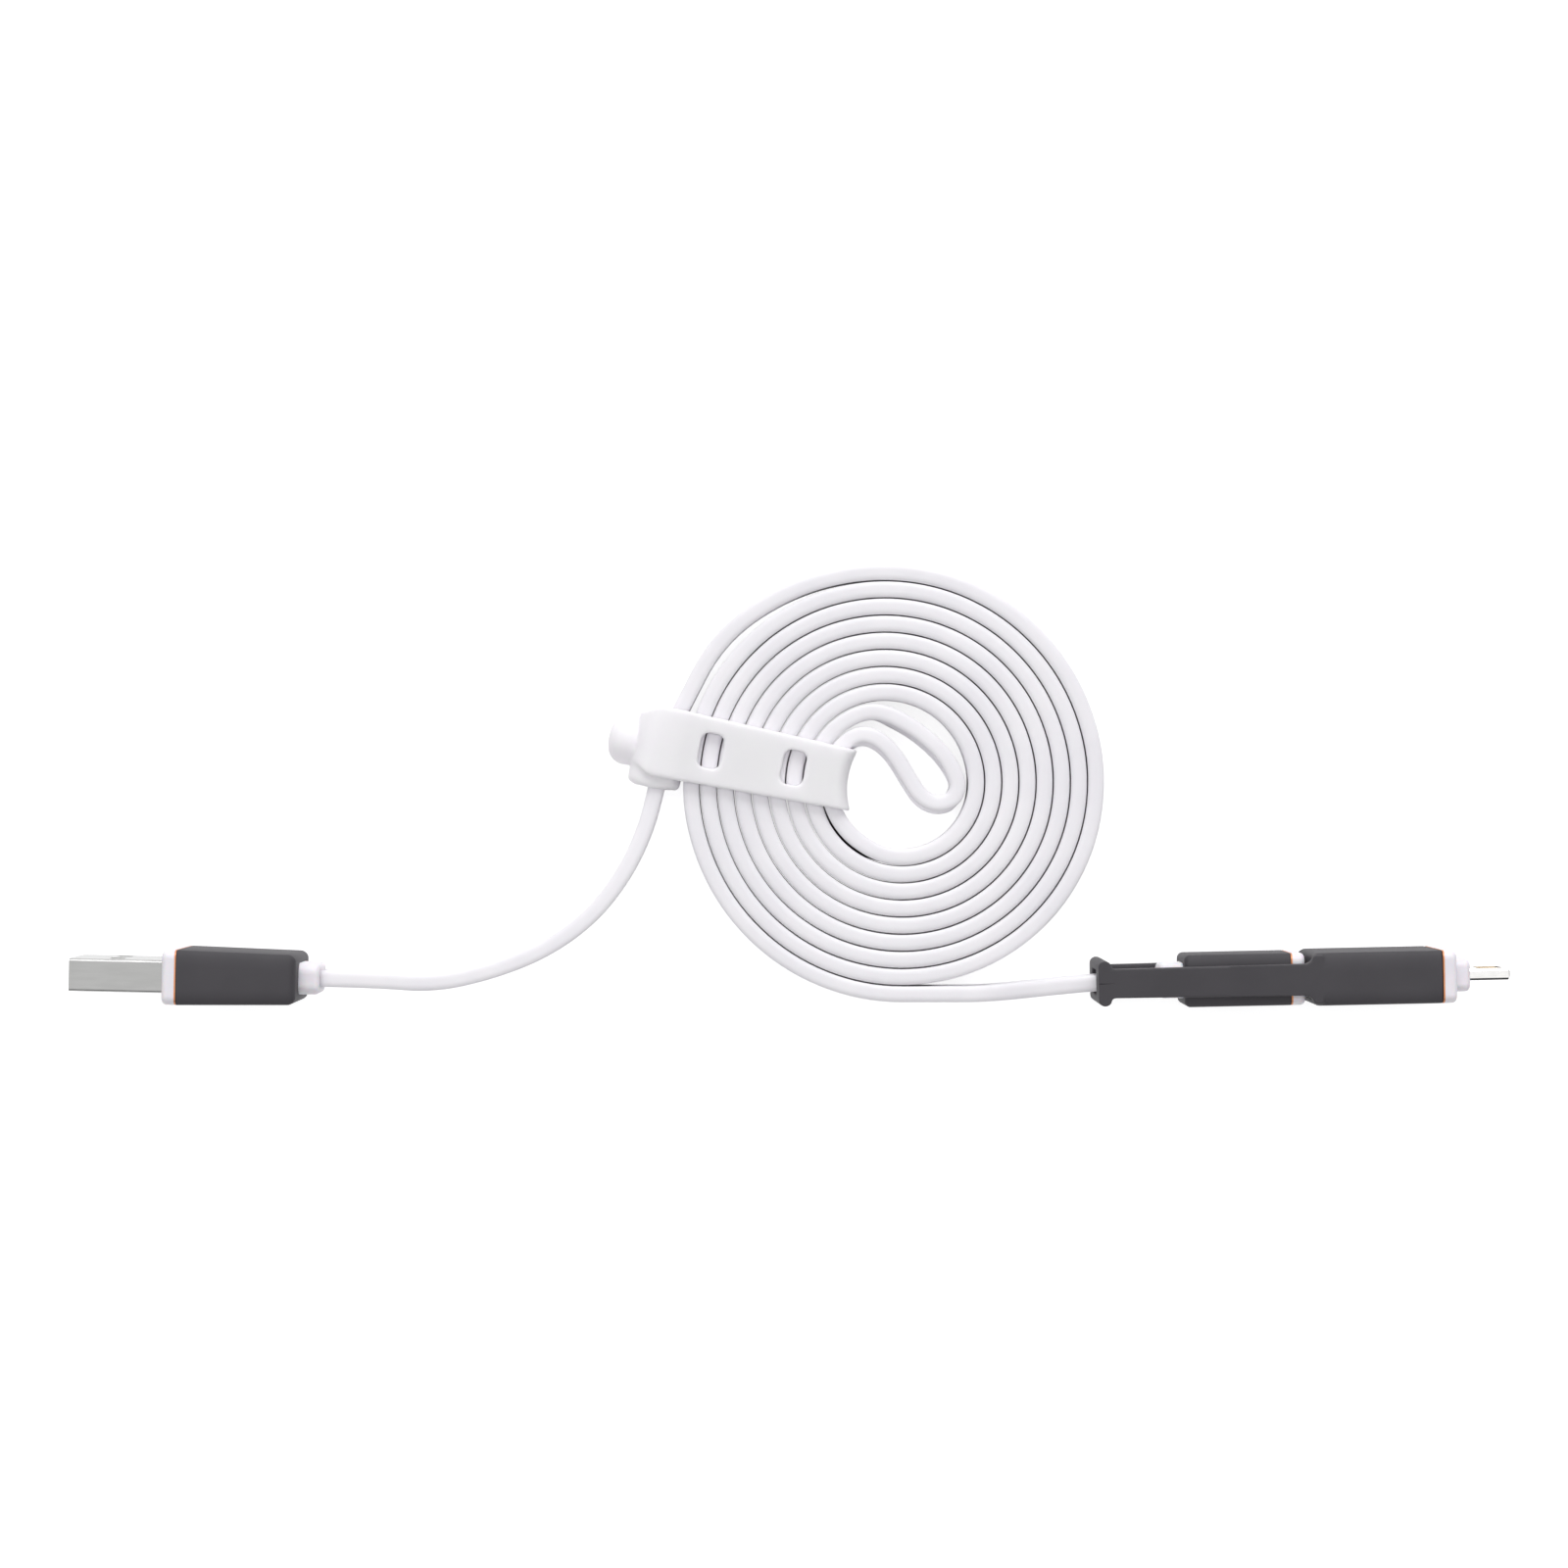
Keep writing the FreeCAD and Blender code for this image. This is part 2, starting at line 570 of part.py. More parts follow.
def plug_parts(prefix, name, frame, sleeve_width):
    """Everything that both of the cord's plugs have. Returns where the cap's front face is."""
    collar, back = D[f"{prefix}_collar_length"], D["sleeve_back_wall"]
    thick, wide = D[f"{prefix}_collar_thickness"], D[f"{prefix}_collar_width"]
    front, rear = D[f"{prefix}_sleeve_front"], D[f"{prefix}_sleeve_rear"]
    sleeve_length, accent = D[f"{prefix}_sleeve_length"], D["accent_thickness"]
    shell_width, shell_height = D[f"{prefix}_shell_width"], D[f"{prefix}_shell_height"]
    fit = D["fit_gap"]
    corner, rounding = D["sleeve_corner"], D["end_rounding"]
    seam = collar + sleeve_length
    cap_start = seam + accent
    cap_front = cap_start + D[f"{prefix}_cap_length"]
    shell_start = cap_front + D[f"{prefix}_shell_exposed"] - D[f"{prefix}_shell_length"]
    last_wire = contact_places(prefix)[-1] + D[f"{prefix}_contact_width"] / 2
    slot_width = (D["wire_count"] - 1) * D["wire_pitch"] + D["wire_diameter"] + D["wire_room"]
    tail_width = 2 * last_wire + D["wire_room"]
    fan_width = max(slot_width, tail_width, key=lambda size: size.value)
    slot_height = D["wire_diameter"] + D["wire_room"]
    neck_thick, neck_wide = thick - 2 * rounding, wide - 2 * rounding
    cavity = rear - 2 * D["mould_wall"]
    cavity_wide = sleeve_width - 2 * D["mould_wall"]

    body = new_body(f"{name}_collar", frame)
    bar(body, 0, collar, thick, wide, D[f"{prefix}_collar_corner"])
    bar(body, collar, back, neck_thick, neck_wide)
    hole(body, 0, collar + back, slot_height, slot_width)
    round_end(body, 0, rounding)

    body = new_body(f"{name}_sleeve", frame)
    front_sketch = new_sketch(body, "YZ_Plane", seam)
    centred(front_sketch, front, sleeve_width, corner)
    rear_sketch = new_sketch(body, "YZ_Plane", collar)
    centred(rear_sketch, rear, sleeve_width, corner)
    loft = body.newObject("PartDesign::AdditiveLoft", "Loft")
    loft.Profile = front_sketch
    loft.Sections = [rear_sketch]
    loft.Ruled = True
    body.Tip = loft
    doc.recompute()
    round_end(body, collar, rounding)
    hole(body, collar, back, neck_thick + 2 * fit, neck_wide + 2 * fit)
    hole(body, collar + back, sleeve_length - back, cavity, cavity_wide)

    body = new_body(f"{name}_inner_mould", frame)
    mould_start = collar + back
    bar(body, mould_start, seam - mould_start, cavity - 2 * fit, cavity_wide - 2 * fit)
    hole(body, mould_start, shell_start - mould_start, slot_height, fan_width)
    hole(body, shell_start, seam - shell_start, shell_height + 2 * fit, shell_width + 2 * fit)

    body = new_body(f"{name}_accent_ring", frame)
    bar(body, seam, accent, front, sleeve_width, corner)
    hole(body, seam, accent, shell_height + 2 * fit, shell_width + 2 * fit)

    body = new_body(f"{name}_front_cap", frame)
    bar(body, cap_start, D[f"{prefix}_cap_length"], front, sleeve_width, corner)
    round_end(body, cap_front, rounding)
    hole(body, cap_start, D[f"{prefix}_cap_length"], shell_height + 2 * fit, shell_width + 2 * fit)

    plug_shell(prefix, f"{name}_shell", frame, shell_start)
    plug_tongue(prefix, f"{name}_tongue", frame, shell_start)
    plug_contacts(prefix, f"{name}_contacts", frame, shell_start)
    plug_wires(prefix, f"{name}_wires", frame, shell_start)
    return cap_front


def adapter_sleeve(frame, start):
    """The adapter's dark rubber: sleeve, two tether arms and the keeper bar round the cord."""
    length, thick, width = D["adapter_length"], D["adapter_thickness"], D["wide_sleeve_width"]
    flare, rear_wall = D["tether_flare"], D["adapter_rear_wall"]
    wide, narrow = D["tether_arm_width"] / 2, D["tether_arm_narrow"] / 2
    keeper = -D["keeper_gap"] - D["keeper_thickness"]
    inner = D["phone_sleeve_width"] + 2 * D["soft_gap"]
    body = new_body("adapter_sleeve", frame)
    bar(body, start, length, thick, width, D["sleeve_corner"])

    sketch = new_sketch(body, "XY_Plane", -width / 2)
    hidden = start + rear_wall / 2
    near = start - flare
    outline(
        sketch,
        [
            (keeper + D["keeper_thickness"] / 2, -narrow),
            (near, -wide),
            (start - flare * KNEE, -wide - flare * KNEE),
            (start, -wide - flare),
            (hidden, -wide - flare),
            (hidden, wide + flare),
            (start, wide + flare),
            (start - flare * KNEE, wide + flare * KNEE),
            (near, wide),
            (keeper + D["keeper_thickness"] / 2, narrow),
        ],
    )
    pad(body, sketch, width)

    sketch = new_sketch(body, "XY_Plane", -width / 2)
    half = D["keeper_height"] / 2
    keeper_end = keeper + D["keeper_thickness"]
    rectangle(sketch, keeper, keeper_end, -half, half, D["keeper_corner"])
    pad(body, sketch, width)

    sketch = new_sketch(body, "XZ_Plane", -thick / 2)
    rectangle(sketch, keeper_end, start, -inner / 2, inner / 2)
    pocket(body, sketch, thick)

    hole(
        body, keeper, D["keeper_thickness"], D["keeper_slot_width"], D["keeper_slot_length"]
    )
    cavity = thick - 2 * D["mould_wall"]
    cavity_wide = width - 2 * D["mould_wall"]
    hole(body, start + rear_wall, length - rear_wall, cavity, cavity_wide)
    fit = D["fit_gap"]
    mouth, mouth_wide = D["socket_height"] + 2 * fit, D["socket_width"] + 2 * fit
    hole(body, start, rear_wall, mouth, mouth_wide)


def adapter_parts(frame, start):
    """The adapter's other pieces, from its socket to its metal tip."""
    length, thick, width = D["adapter_length"], D["adapter_thickness"], D["wide_sleeve_width"]
    fit, accent, rounding = D["fit_gap"], D["accent_thickness"], D["end_rounding"]
    corner = D["sleeve_corner"]
    tip_wide, tip_thick = D["tip_width"], D["tip_thickness"]
    seam = start + length
    cap_start = seam + accent
    cap_front = cap_start + D["adapter_cap_length"]
    nose_front = cap_front + D["nose_length"]
    tip_end = nose_front + D["tip_exposed"]
    tip_start = nose_front - D["tip_buried"]
    tip_hole = (tip_thick + 2 * fit, tip_wide + 2 * fit, tip_thick / 2)

    body = new_body("adapter_accent_ring", frame)
    bar(body, seam, accent, thick, width, corner)
    hole(body, seam, accent, *tip_hole)

    body = new_body("adapter_front_cap", frame)
    bar(body, cap_start, D["adapter_cap_length"], thick, width, corner)
    round_end(body, cap_front, rounding)
    hole(body, cap_start, D["adapter_cap_length"], *tip_hole)

    body = new_body("adapter_nose", frame)
    bar(body, cap_front, D["nose_length"], D["nose_thickness"], D["nose_width"], D["nose_corner"])
    round_end(body, nose_front, rounding)
    hole(body, cap_front, D["nose_length"], *tip_hole)

    body = new_body("phone_tip", frame)
    bar(body, tip_start, tip_end - tip_start, tip_thick, tip_wide, tip_thick / 2 - fit / 2)
    round_end(body, tip_end, D["tip_end_rounding"])
    depth, field_end = D["pad_field_depth"], tip_end - D["pad_field_from_end"]
    field = D["pad_field_width"] / 2
    field_start = field_end - D["pad_field_length"]
    for side in (-1, 1):
        plane = tip_thick / 2 - depth if side < 0 else -tip_thick / 2
        sketch = new_sketch(body, "XZ_Plane", plane)
        rectangle(sketch, field_start, field_end, -field, field, depth)
        pocket(body, sketch, depth)
    sketch = new_sketch(body, "XZ_Plane", -tip_thick / 2)
    notch_half, notch_depth = D["latch_notch_length"] / 2, D["latch_notch_depth"]
    notch_at = tip_end - D["latch_notch_from_end"]
    for side in (-1, 1):
        edge = side * tip_wide / 2
        low, high = edge - notch_depth, edge + notch_depth
        rectangle(sketch, notch_at - notch_half, notch_at + notch_half, low, high)
    pocket(body, sketch, tip_thick)

    inserts, pads = [], []
    insert = num("pad_insert_thickness")
    floor = tip_thick.value / 2 - depth.value
    pad_wide, pad_thick = num("pad_width"), num("pad_thickness")
    pad_start = (field_start.value + field_end.value - num("pad_length")) / 2
    for side in (-1, 1):
        low = floor if side > 0 else -floor - insert
        inserts.append(
            Part.makeBox(
                field_end.value - field_start.value - 2 * depth.value,
                insert,
                2 * (field.value - depth.value),
                Vector(field_start.value + depth.value, low, depth.value - field.value),
            )
        )
        level = floor + insert if side > 0 else -floor - insert - pad_thick
        for across in in_row(D["pad_pitch"], D["pad_count"]):
            corner_point = Vector(pad_start, level, across.value - pad_wide / 2)
            pads.append(Part.makeBox(num("pad_length"), pad_thick, pad_wide, corner_point))
    new_feature("tip_inserts", Part.makeCompound(inserts), frame)
    new_feature("tip_contacts", Part.makeCompound(pads), frame)

    wall, depth = D["socket_wall"], D["socket_depth"]
    socket_end = start + depth
    body = new_body("socket_shell", frame)
    bar(body, start, depth, D["socket_height"], D["socket_width"], D["socket_corner"])
    inner_high, inner_wide = D["socket_height"] - 2 * wall, D["socket_width"] - 2 * wall
    hole(body, start, depth, inner_high, inner_wide, D["socket_corner"] - wall)

    # The socket's tongue lies over the plug's, with the two rows of contacts face to face.
    plug_inner = D["phone_shell_height"] - 2 * D["phone_shell_wall"] - 2 * fit
    plug_face = -plug_inner / 2 + D["phone_tongue_thickness"] + D["phone_contact_thickness"]
    touch = plug_face + fit
    tongue_low = touch + D["phone_contact_thickness"]
    tongue_start = start + D["socket_tongue_setback"]
    tongue_wide = D["socket_tongue_width"]
    base_end = socket_end + D["socket_base_length"]
    body = new_body("socket_tongue", frame)
    bar(body, socket_end, D["socket_base_length"], D["socket_height"], D["socket_width"])
    sketch = new_sketch(body, "YZ_Plane", tongue_start)
    tongue_high = tongue_low + D["socket_tongue_thickness"]
    rectangle(sketch, tongue_low, tongue_high, -tongue_wide / 2, tongue_wide / 2)
    pad(body, sketch, socket_end - tongue_start)

    contacts = []
    contact_wide = num("phone_contact_width")
    for place in contact_places("phone"):
        corner_point = Vector(tongue_start.value, touch.value, place.value - contact_wide / 2)
        run = socket_end.value - tongue_start.value
        contacts.append(
            Part.makeBox(run, num("phone_contact_thickness"), contact_wide, corner_point)
        )
    new_feature("socket_contacts", Part.makeCompound(contacts), frame)

    board_thick, board_wide = D["board_thickness"], D["board_width"]
    body = new_body("adapter_board", frame)
    bar(body, base_end, tip_start - base_end, board_thick, board_wide)

    chip_at = base_end.value + 0.5 * (tip_start.value - base_end.value - num("chip_length"))
    chip_size = (num("chip_length"), num("chip_thickness"), num("chip_width"))
    over, under = board_thick.value / 2, -board_thick.value / 2 - num("chip_thickness")
    chips = [
        Part.makeBox(*chip_size, Vector(chip_at, level, -num("chip_width") / 2))
        for level in (over, under)
    ]
    new_feature("adapter_chips", Part.makeCompound(chips), frame)

    body = new_body("adapter_inner_mould", frame)
    mould_start = start + D["adapter_rear_wall"]
    cavity = thick - 2 * D["mould_wall"] - 2 * fit
    bar(body, mould_start, seam - mould_start, cavity, width - 2 * D["mould_wall"] - 2 * fit)
    mouth = (D["socket_height"] + 2 * fit, D["socket_width"] + 2 * fit)
    hole(body, mould_start, base_end - mould_start, *mouth)
    room = board_thick + 2 * D["chip_thickness"] + 2 * fit
    hole(body, base_end, seam - base_end, room, board_wide + 2 * fit)


def cord_profile(point, heading):
    """The flat cord's cross-section, standing on edge, square to a level heading."""
    half_wide, half_thin = num("cord_width") / 2, num("cord_thickness") / 2
    r = num("cord_edge_radius")
    a, b = half_thin - r, half_wide - r
    k = r * KNEE
    corners = [(1, 1), (-1, 1), (-1, -1), (1, -1)]
    side = Vector(-heading.y, heading.x, 0).normalize()
    edges = []

    def at(across, up):
        return point + side * across + Vector(0, 0, up)

    for i, (s, t) in enumerate(corners):
        on_side = at(s * half_thin, t * b)
        on_top = at(s * a, t * half_wide)
        middle = at(s * (half_thin - k), t * (half_wide - k))
        first, last = (on_side, on_top) if s * t > 0 else (on_top, on_side)
        edges.append(Part.Arc(first, middle, last).toShape())
        s2, t2 = corners[(i + 1) % 4]
        onwards = at(s2 * a, t2 * half_wide) if s * t > 0 else at(s2 * half_thin, t2 * b)
        edges.append(Part.LineSegment(last, onwards).toShape())
    return Part.Wire(edges)


def eased(points):
    """Straight runs joined by tangent arcs, each as large as its two runs allow."""
    edges, radii = [], []
    start = points[0]
    for before, corner, after in zip(points, points[1:], points[2:]):
        incoming, outgoing = corner - before, after - corner
        turn = incoming.getAngle(outgoing)
        shorter = min(incoming.Length, outgoing.Length)
        cut = ARC_SHARE * shorter
        radius = cut / math.tan(turn / 2)
        into, out = Vector(incoming).normalize(), Vector(outgoing).normalize()
        arc_start, arc_end = corner - into * cut, corner + out * cut
        inward = (out - into).normalize()
        middle = corner + inward * (radius / math.cos(turn / 2) - radius)
        edges.append(Part.LineSegment(start, arc_start).toShape())
        edges.append(Part.Arc(arc_start, middle, arc_end).toShape())
        radii.append(round(radius, 1))
        start = arc_end
    edges.append(Part.LineSegment(start, points[-1]).toShape())
    return edges, radii


def cord_tube(label, edges, heading):
    """The cord's section swept along a path, checked against its section times its length."""
    path = Part.Wire(edges)
    profile = cord_profile(edges[0].valueAt(edges[0].FirstParameter), heading)
    solid = path.makePipeShell([profile], True, False)
    area = Part.Face(profile).Area
    share = solid.Volume / (area * path.Length)
    print(f"{label}: length {path.Length:.1f} mm, volume over section times length {share:.4f}")
    new_feature(label, solid, Placement())
    return path


def half_circle(centre, radius, start, end, level):
    """Arcs of a quarter turn or less from one angle to another, in degrees."""
    steps = max(1, math.ceil(abs(end - start) / 90.0 - SAME))
    edges = []
    for step in range(steps):
        a0 = start + (end - start) * step / steps
        a1 = start + (end - start) * (step + 1) / steps
        points = []
        for angle in (a0, (a0 + a1) / 2, a1):
            t = math.radians(angle)
            points.append(
                Vector(centre[0] + radius * math.cos(t), centre[1] + radius * math.sin(t), level)
            )
        edges.append(Part.Arc(*points).toShape())
    return edges


COIL_LEVEL = num("strap_thickness") + num("soft_gap") + num("cord_width") / 2


def spiral_path():
    """Inwards along one arm, round the loop in the middle, and outwards along the other arm.

    Each arm is half circles about two centres one turn pitch apart, so each half turn is one
    pitch larger than the last, and the two arms always lie one pitch from each other.
    """
    pitch, r0 = num("turn_pitch"), num("spiral_start_radius")
    left = (num("spiral_left_x"), num("spiral_centre_y"))
    right = (left[0] + pitch, left[1])
    halves = int(num("spiral_half_turns"))
    level, run = COIL_LEVEL, num("end_straight")
    leave = num("outer_arm_angle")

    inward = []
    for half in range(halves, 0, -1):
        upper = half % 2 == 0
        centre = left if upper else right
        begin = leave if half == halves else (180 if upper else 360)
        inward += half_circle(centre, r0 + half * pitch, begin, 0 if upper else 180, level)
    outward = []
    for half in range(halves + 1):
        upper = half % 2 == 1
        centre = left if upper else right
        end = 270 if half == halves else (180 if upper else 360)
        outward += half_circle(centre, r0 + half * pitch, 0 if upper else 180, end, level)

    first = inward[0].valueAt(inward[0].FirstParameter)
    t = math.radians(leave)
    back = Vector(-math.sin(t), math.cos(t), 0)
    usb_end = first + back * run
    last = outward[-1].valueAt(outward[-1].LastParameter)
    phone_end = last + Vector(run, 0, 0)

    enter = inward[-1].valueAt(inward[-1].LastParameter)
    leave_loop = outward[0].valueAt(outward[0].FirstParameter)
    loop = [enter] + [Vector(x, y, level) for x, y in HAIRPIN] + [leave_loop]
    loop_edges, radii = eased(loop)
    print("turning loop radii", radii)
    edges = [Part.LineSegment(usb_end, first).toShape()]
    edges += inward + loop_edges + outward
    edges.append(Part.LineSegment(last, phone_end).toShape())
    return edges, usb_end, phone_end, back


def least_gap(path):
    """The least distance between two stretches of the path, less the cord's thickness."""
    spacing, same_stretch = 1.0, 8
    near = 2 * num("turn_pitch")
    points = path.discretize(Number=int(path.Length / spacing))
    least = min(
        one.distanceToPoint(other)
        for i, one in enumerate(points)
        for other in points[i + same_stretch :]
        if abs(one.x - other.x) < near and abs(one.y - other.y) < near
    )
    return least - num("cord_thickness")


def cord_nodes():
    """The wound cord and the free stretch to each plug."""
    edges, usb_end, phone_end, outwards = spiral_path()
    path = cord_tube("cord_coil", edges, outwards * -1)
    lengths = [path.Length]
    print(f"least gap between turns {least_gap(path):.2f} mm")
    ends = {
        "cord_lead_usb": (usb_end, USB_ROUTE, USB_FRAME.Base, outwards),
        "cord_lead_phone": (phone_end, PHONE_ROUTE, PHONE_FRAME.Base, Vector(1, 0, 0)),
    }
    for label, (start, route, exit_point, heading) in ends.items():
        points = [start] + [Vector(*p) for p in route] + [exit_point]
        lead, radii = eased(points)
        print(label, "radii", radii)
        lengths.append(cord_tube(label, lead, points[1] - points[0]).Length)
    print(f"cord length from plug to plug {sum(lengths):.1f} mm")


def fold_arc(sketch, grow):
    """An arc of the fold's plan curve, from the band's far side to its near side."""
    radius, centre_y = D["strap_fold_radius"] + grow, D["strap_fold_offset"]
    centre_x = D["strap_reach"] + D["strap_fold_radius"]
    half = D["strap_width_end"] / 2
    circle = Part.Circle(
        Vector(centre_x.value, centre_y.value, 0), Vector(0, 0, 1), radius.value
    )
    angles = [
        math.pi - math.asin((y - centre_y.value) / radius.value)
        for y in (half.value, -half.value)
    ]
    arc = sketch.addGeometry(Part.ArcOfCircle(circle, *angles))
    index = sketch.addConstraint(Sketcher.Constraint("Radius", arc, radius.value))
    sketch.setExpression(f"Constraints[{index}]", radius.text)
    hold(sketch, "X", arc, 3, centre_x)
    hold(sketch, "Y", arc, 3, centre_y)
    hold(sketch, "Y", arc, 1, half)
    hold(sketch, "Y", arc, 2, -half)
    return arc


def join(sketch, one, one_end, other, other_end):
    """A straight side between two points of the sketch."""
    points = [sketch.getPoint(one, one_end), sketch.getPoint(other, other_end)]
    side = sketch.addGeometry(Part.LineSegment(*points))
    sketch.addConstraint(Sketcher.Constraint("Coincident", side, 1, one, one_end))
    sketch.addConstraint(Sketcher.Constraint("Coincident", side, 2, other, other_end))


def band_layer(body, level, start, start_wide):
    """One layer of the band, lying flat, that narrows towards the curved fold."""
    sketch = new_sketch(body, "XY_Plane", level)
    arc = fold_arc(sketch, 0)
    half = start_wide / 2
    end = sketch.addGeometry(
        Part.LineSegment(
            Vector(start.value, half.value, 0), Vector(start.value, -half.value, 0)
        )
    )
    for point, side in ((1, half), (2, -half)):
        hold(sketch, "X", end, point, start)
        hold(sketch, "Y", end, point, side)
    join(sketch, end, 1, arc, 1)
    join(sketch, end, 2, arc, 2)
    pad(body, sketch, D["strap_thickness"])


def disc(body, start, length, radius, across, up):
    """A round pad along the body's X axis."""
    sketch = new_sketch(body, "YZ_Plane", start)
    centre = Vector(across.value, up.value, 0)
    circle = sketch.addGeometry(Part.Circle(centre, Vector(0, 0, 1), radius.value))
    index = sketch.addConstraint(Sketcher.Constraint("Radius", circle, radius.value))
    sketch.setExpression(f"Constraints[{index}]", radius.text)
    hold(sketch, "X", circle, 3, across)
    hold(sketch, "Y", circle, 3, up)
    pad(body, sketch, length)


def cable_tie():
    """The silicone tie: ring round the cord, band round the coil, buttonholes and button."""
    thick, soft, wall = D["strap_thickness"], D["soft_gap"], D["ring_wall"]
    fit, rounding = D["fit_gap"], D["ring_rounding"]
    left, right = D["ring_left"], D["ring_right"]
    over = thick + soft + D["cord_width"] + soft
    top = over + thick
    ring_top = over + wall
    wrap_low, wrap_left = ring_top + fit, left + fit
    ramp_end = right + D["strap_ramp"]
    across, up = -D["button_offset"], ring_top / 2
    body = new_body("cable_tie", STRAP_FRAME)

    # The band's last stretch: off the coil, over the ring and down its left side.
    sketch = new_sketch(body, "XZ_Plane", -D["strap_width_ring"] / 2)
    outline(
        sketch,
        [
            (ramp_end, over),
            (ramp_end, top),
            (right, wrap_low + thick),
            (-wrap_left - thick, wrap_low + thick),
            (-wrap_left - thick, D["tail_bottom"]),
            (-wrap_left, D["tail_bottom"]),
            (-wrap_left, wrap_low),
            (right, wrap_low),
        ],
    )
    pad(body, sketch, D["strap_width_ring"])
    bends = (
        (wrap_left + thick, wrap_low + thick, rounding + fit + thick),
        (wrap_left, wrap_low, rounding + fit),
    )
    for out, level, radius in bends:
        shape = body.Tip.Shape
        names = [
            name
            for name in edges_at(shape, 0, -out.value)
            if name in edges_at(shape, 2, level.value)
        ]
        round_edges(body, names, radius)
    half_high, half_long = D["strap_slot_width"] / 2, D["strap_slot_length"] / 2
    sketch = new_sketch(body, "YZ_Plane", -wrap_left - thick)
    rectangle(
        sketch,
        across - half_long,
        across + half_long,
        up - half_high,
        up + half_high,
        D["strap_slot_corner"],
    )
    pocket(body, sketch, thick)

    band_layer(body, over, ramp_end - fit, D["strap_width_ring"])
    for index in (0, 1):
        sketch = new_sketch(body, "XY_Plane", over)
        at = D["strap_slot_first"] + index * D["strap_slot_spacing"]
        off = D["strap_slot_offset"]
        rectangle(
            sketch,
            at - half_high,
            at + half_high,
            off - half_long,
            off + half_long,
            D["strap_slot_corner"],
        )
        pocket(body, sketch, thick)

    # The fold up through the hole in the coil, a wall curved like the innermost turn.
    sketch = new_sketch(body, "XY_Plane", 0)
    inner, outer = fold_arc(sketch, 0), fold_arc(sketch, thick)
    join(sketch, inner, 1, outer, 1)
    join(sketch, inner, 2, outer, 2)
    pad(body, sketch, top)
    band_layer(body, 0, right - rounding - wall, D["strap_width_ring"])

    # The ring that stays on the cord. Its floor is the band's.
    ring_length = D["ring_high_end"] + D["ring_low_end"]
    sketch = new_sketch(body, "XZ_Plane", -D["ring_high_end"])
    rectangle(sketch, -left, right, fit, ring_top, rounding)
    pad(body, sketch, ring_length)
    sketch = new_sketch(body, "XZ_Plane", -D["ring_high_end"])
    rectangle(sketch, wall - left, right - wall, thick, over, rounding - wall)
    pocket(body, sketch, ring_length)

    # The button on the ring's left side: a neck through the band's last buttonhole, and a head.
    neck, head = D["button_neck_length"], D["button_head_length"]
    disc(body, -left - neck, neck + wall / 2, D["button_neck_radius"], across, up)
    disc(body, -left - neck - head, head, D["button_head_radius"], across, up)
    end = -left - neck - head
    round_edges(body, edges_at(body.Tip.Shape, 0, end.value), D["button_rounding"])


phone_cap_front = plug_parts("phone", "phone_plug", PHONE_FRAME, D["phone_sleeve_width"])
plug_parts("usb", "usb_a", USB_FRAME, D["wide_sleeve_width"])
adapter_start = phone_cap_front + D["adapter_gap"]
adapter_sleeve(PHONE_FRAME, adapter_start)
adapter_parts(PHONE_FRAME, adapter_start)
cable_tie()
cord_nodes()

doc.recompute()
for item in doc.Objects:
    if {"Invalid", "Error"} & set(item.State):
        raise RuntimeError(f"{item.Label} has failed: {item.State}")
os.makedirs("parts", exist_ok=True)
for node in NODES:
    shape = node.Shape
    if shape.isNull() or not shape.isValid() or not shape.Solids:
        raise RuntimeError(f"{node.Label} has no valid solid")
    shape.exportStep(f"parts/{node.Label}.step")
print(len(NODES), "sub-parts written")
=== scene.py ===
# %% [markdown]
# # A flat charging cable, wound in a spiral
#
# The object is a noodle cable: a flat cord lies in a double spiral on a white table, a white
# silicone tie holds the turns, and both plugs lie on their narrow edges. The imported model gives
# every rigid piece at its real size. Blender adds what a solid modeller leaves plain: the soft
# cord and tie, the rubber sleeves, and the finish of every surface.

# %% The fixed frame
import json
import math

import bmesh
import bpy
from mathutils import Matrix, Vector


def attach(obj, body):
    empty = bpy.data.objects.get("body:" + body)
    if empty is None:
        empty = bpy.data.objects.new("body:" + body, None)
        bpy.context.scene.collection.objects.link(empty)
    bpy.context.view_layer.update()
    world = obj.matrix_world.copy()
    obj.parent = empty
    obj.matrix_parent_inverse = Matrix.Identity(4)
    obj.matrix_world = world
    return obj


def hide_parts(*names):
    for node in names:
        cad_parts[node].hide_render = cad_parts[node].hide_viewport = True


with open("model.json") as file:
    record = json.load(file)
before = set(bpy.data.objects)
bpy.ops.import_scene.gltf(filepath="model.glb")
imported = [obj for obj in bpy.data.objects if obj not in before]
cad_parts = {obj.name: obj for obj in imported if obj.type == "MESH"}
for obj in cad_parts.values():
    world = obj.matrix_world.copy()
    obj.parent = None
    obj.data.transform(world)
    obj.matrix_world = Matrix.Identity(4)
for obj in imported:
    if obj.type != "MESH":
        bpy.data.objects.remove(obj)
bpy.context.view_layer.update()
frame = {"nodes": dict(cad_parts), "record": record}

nodes = frame["nodes"]
MM = 0.001
print(len(nodes), "pieces in the frame")

# %% [markdown]
# ## Working in millimetres
#
# Blender measures in metres and a cable in millimetres. Each piece is drawn in millimetres in its
# own axes, as on a bench, and one matrix then scales it and lays it where it belongs. The plugs'
# axes run from the cord towards the metal tip; the tie's run along its band.

# %% The three places that pieces are drawn in
EXIT_USB = Vector((-64.35, -16.94, 8.0))
EXIT_PHONE = Vector((50.35, -17.22, 8.0))
TIE_ORIGIN = Vector((-15.0, 14.97, 0.0))
USB_TURN, PHONE_TURN, TIE_TURN = 180 - 1.25, 1.2, -11.5


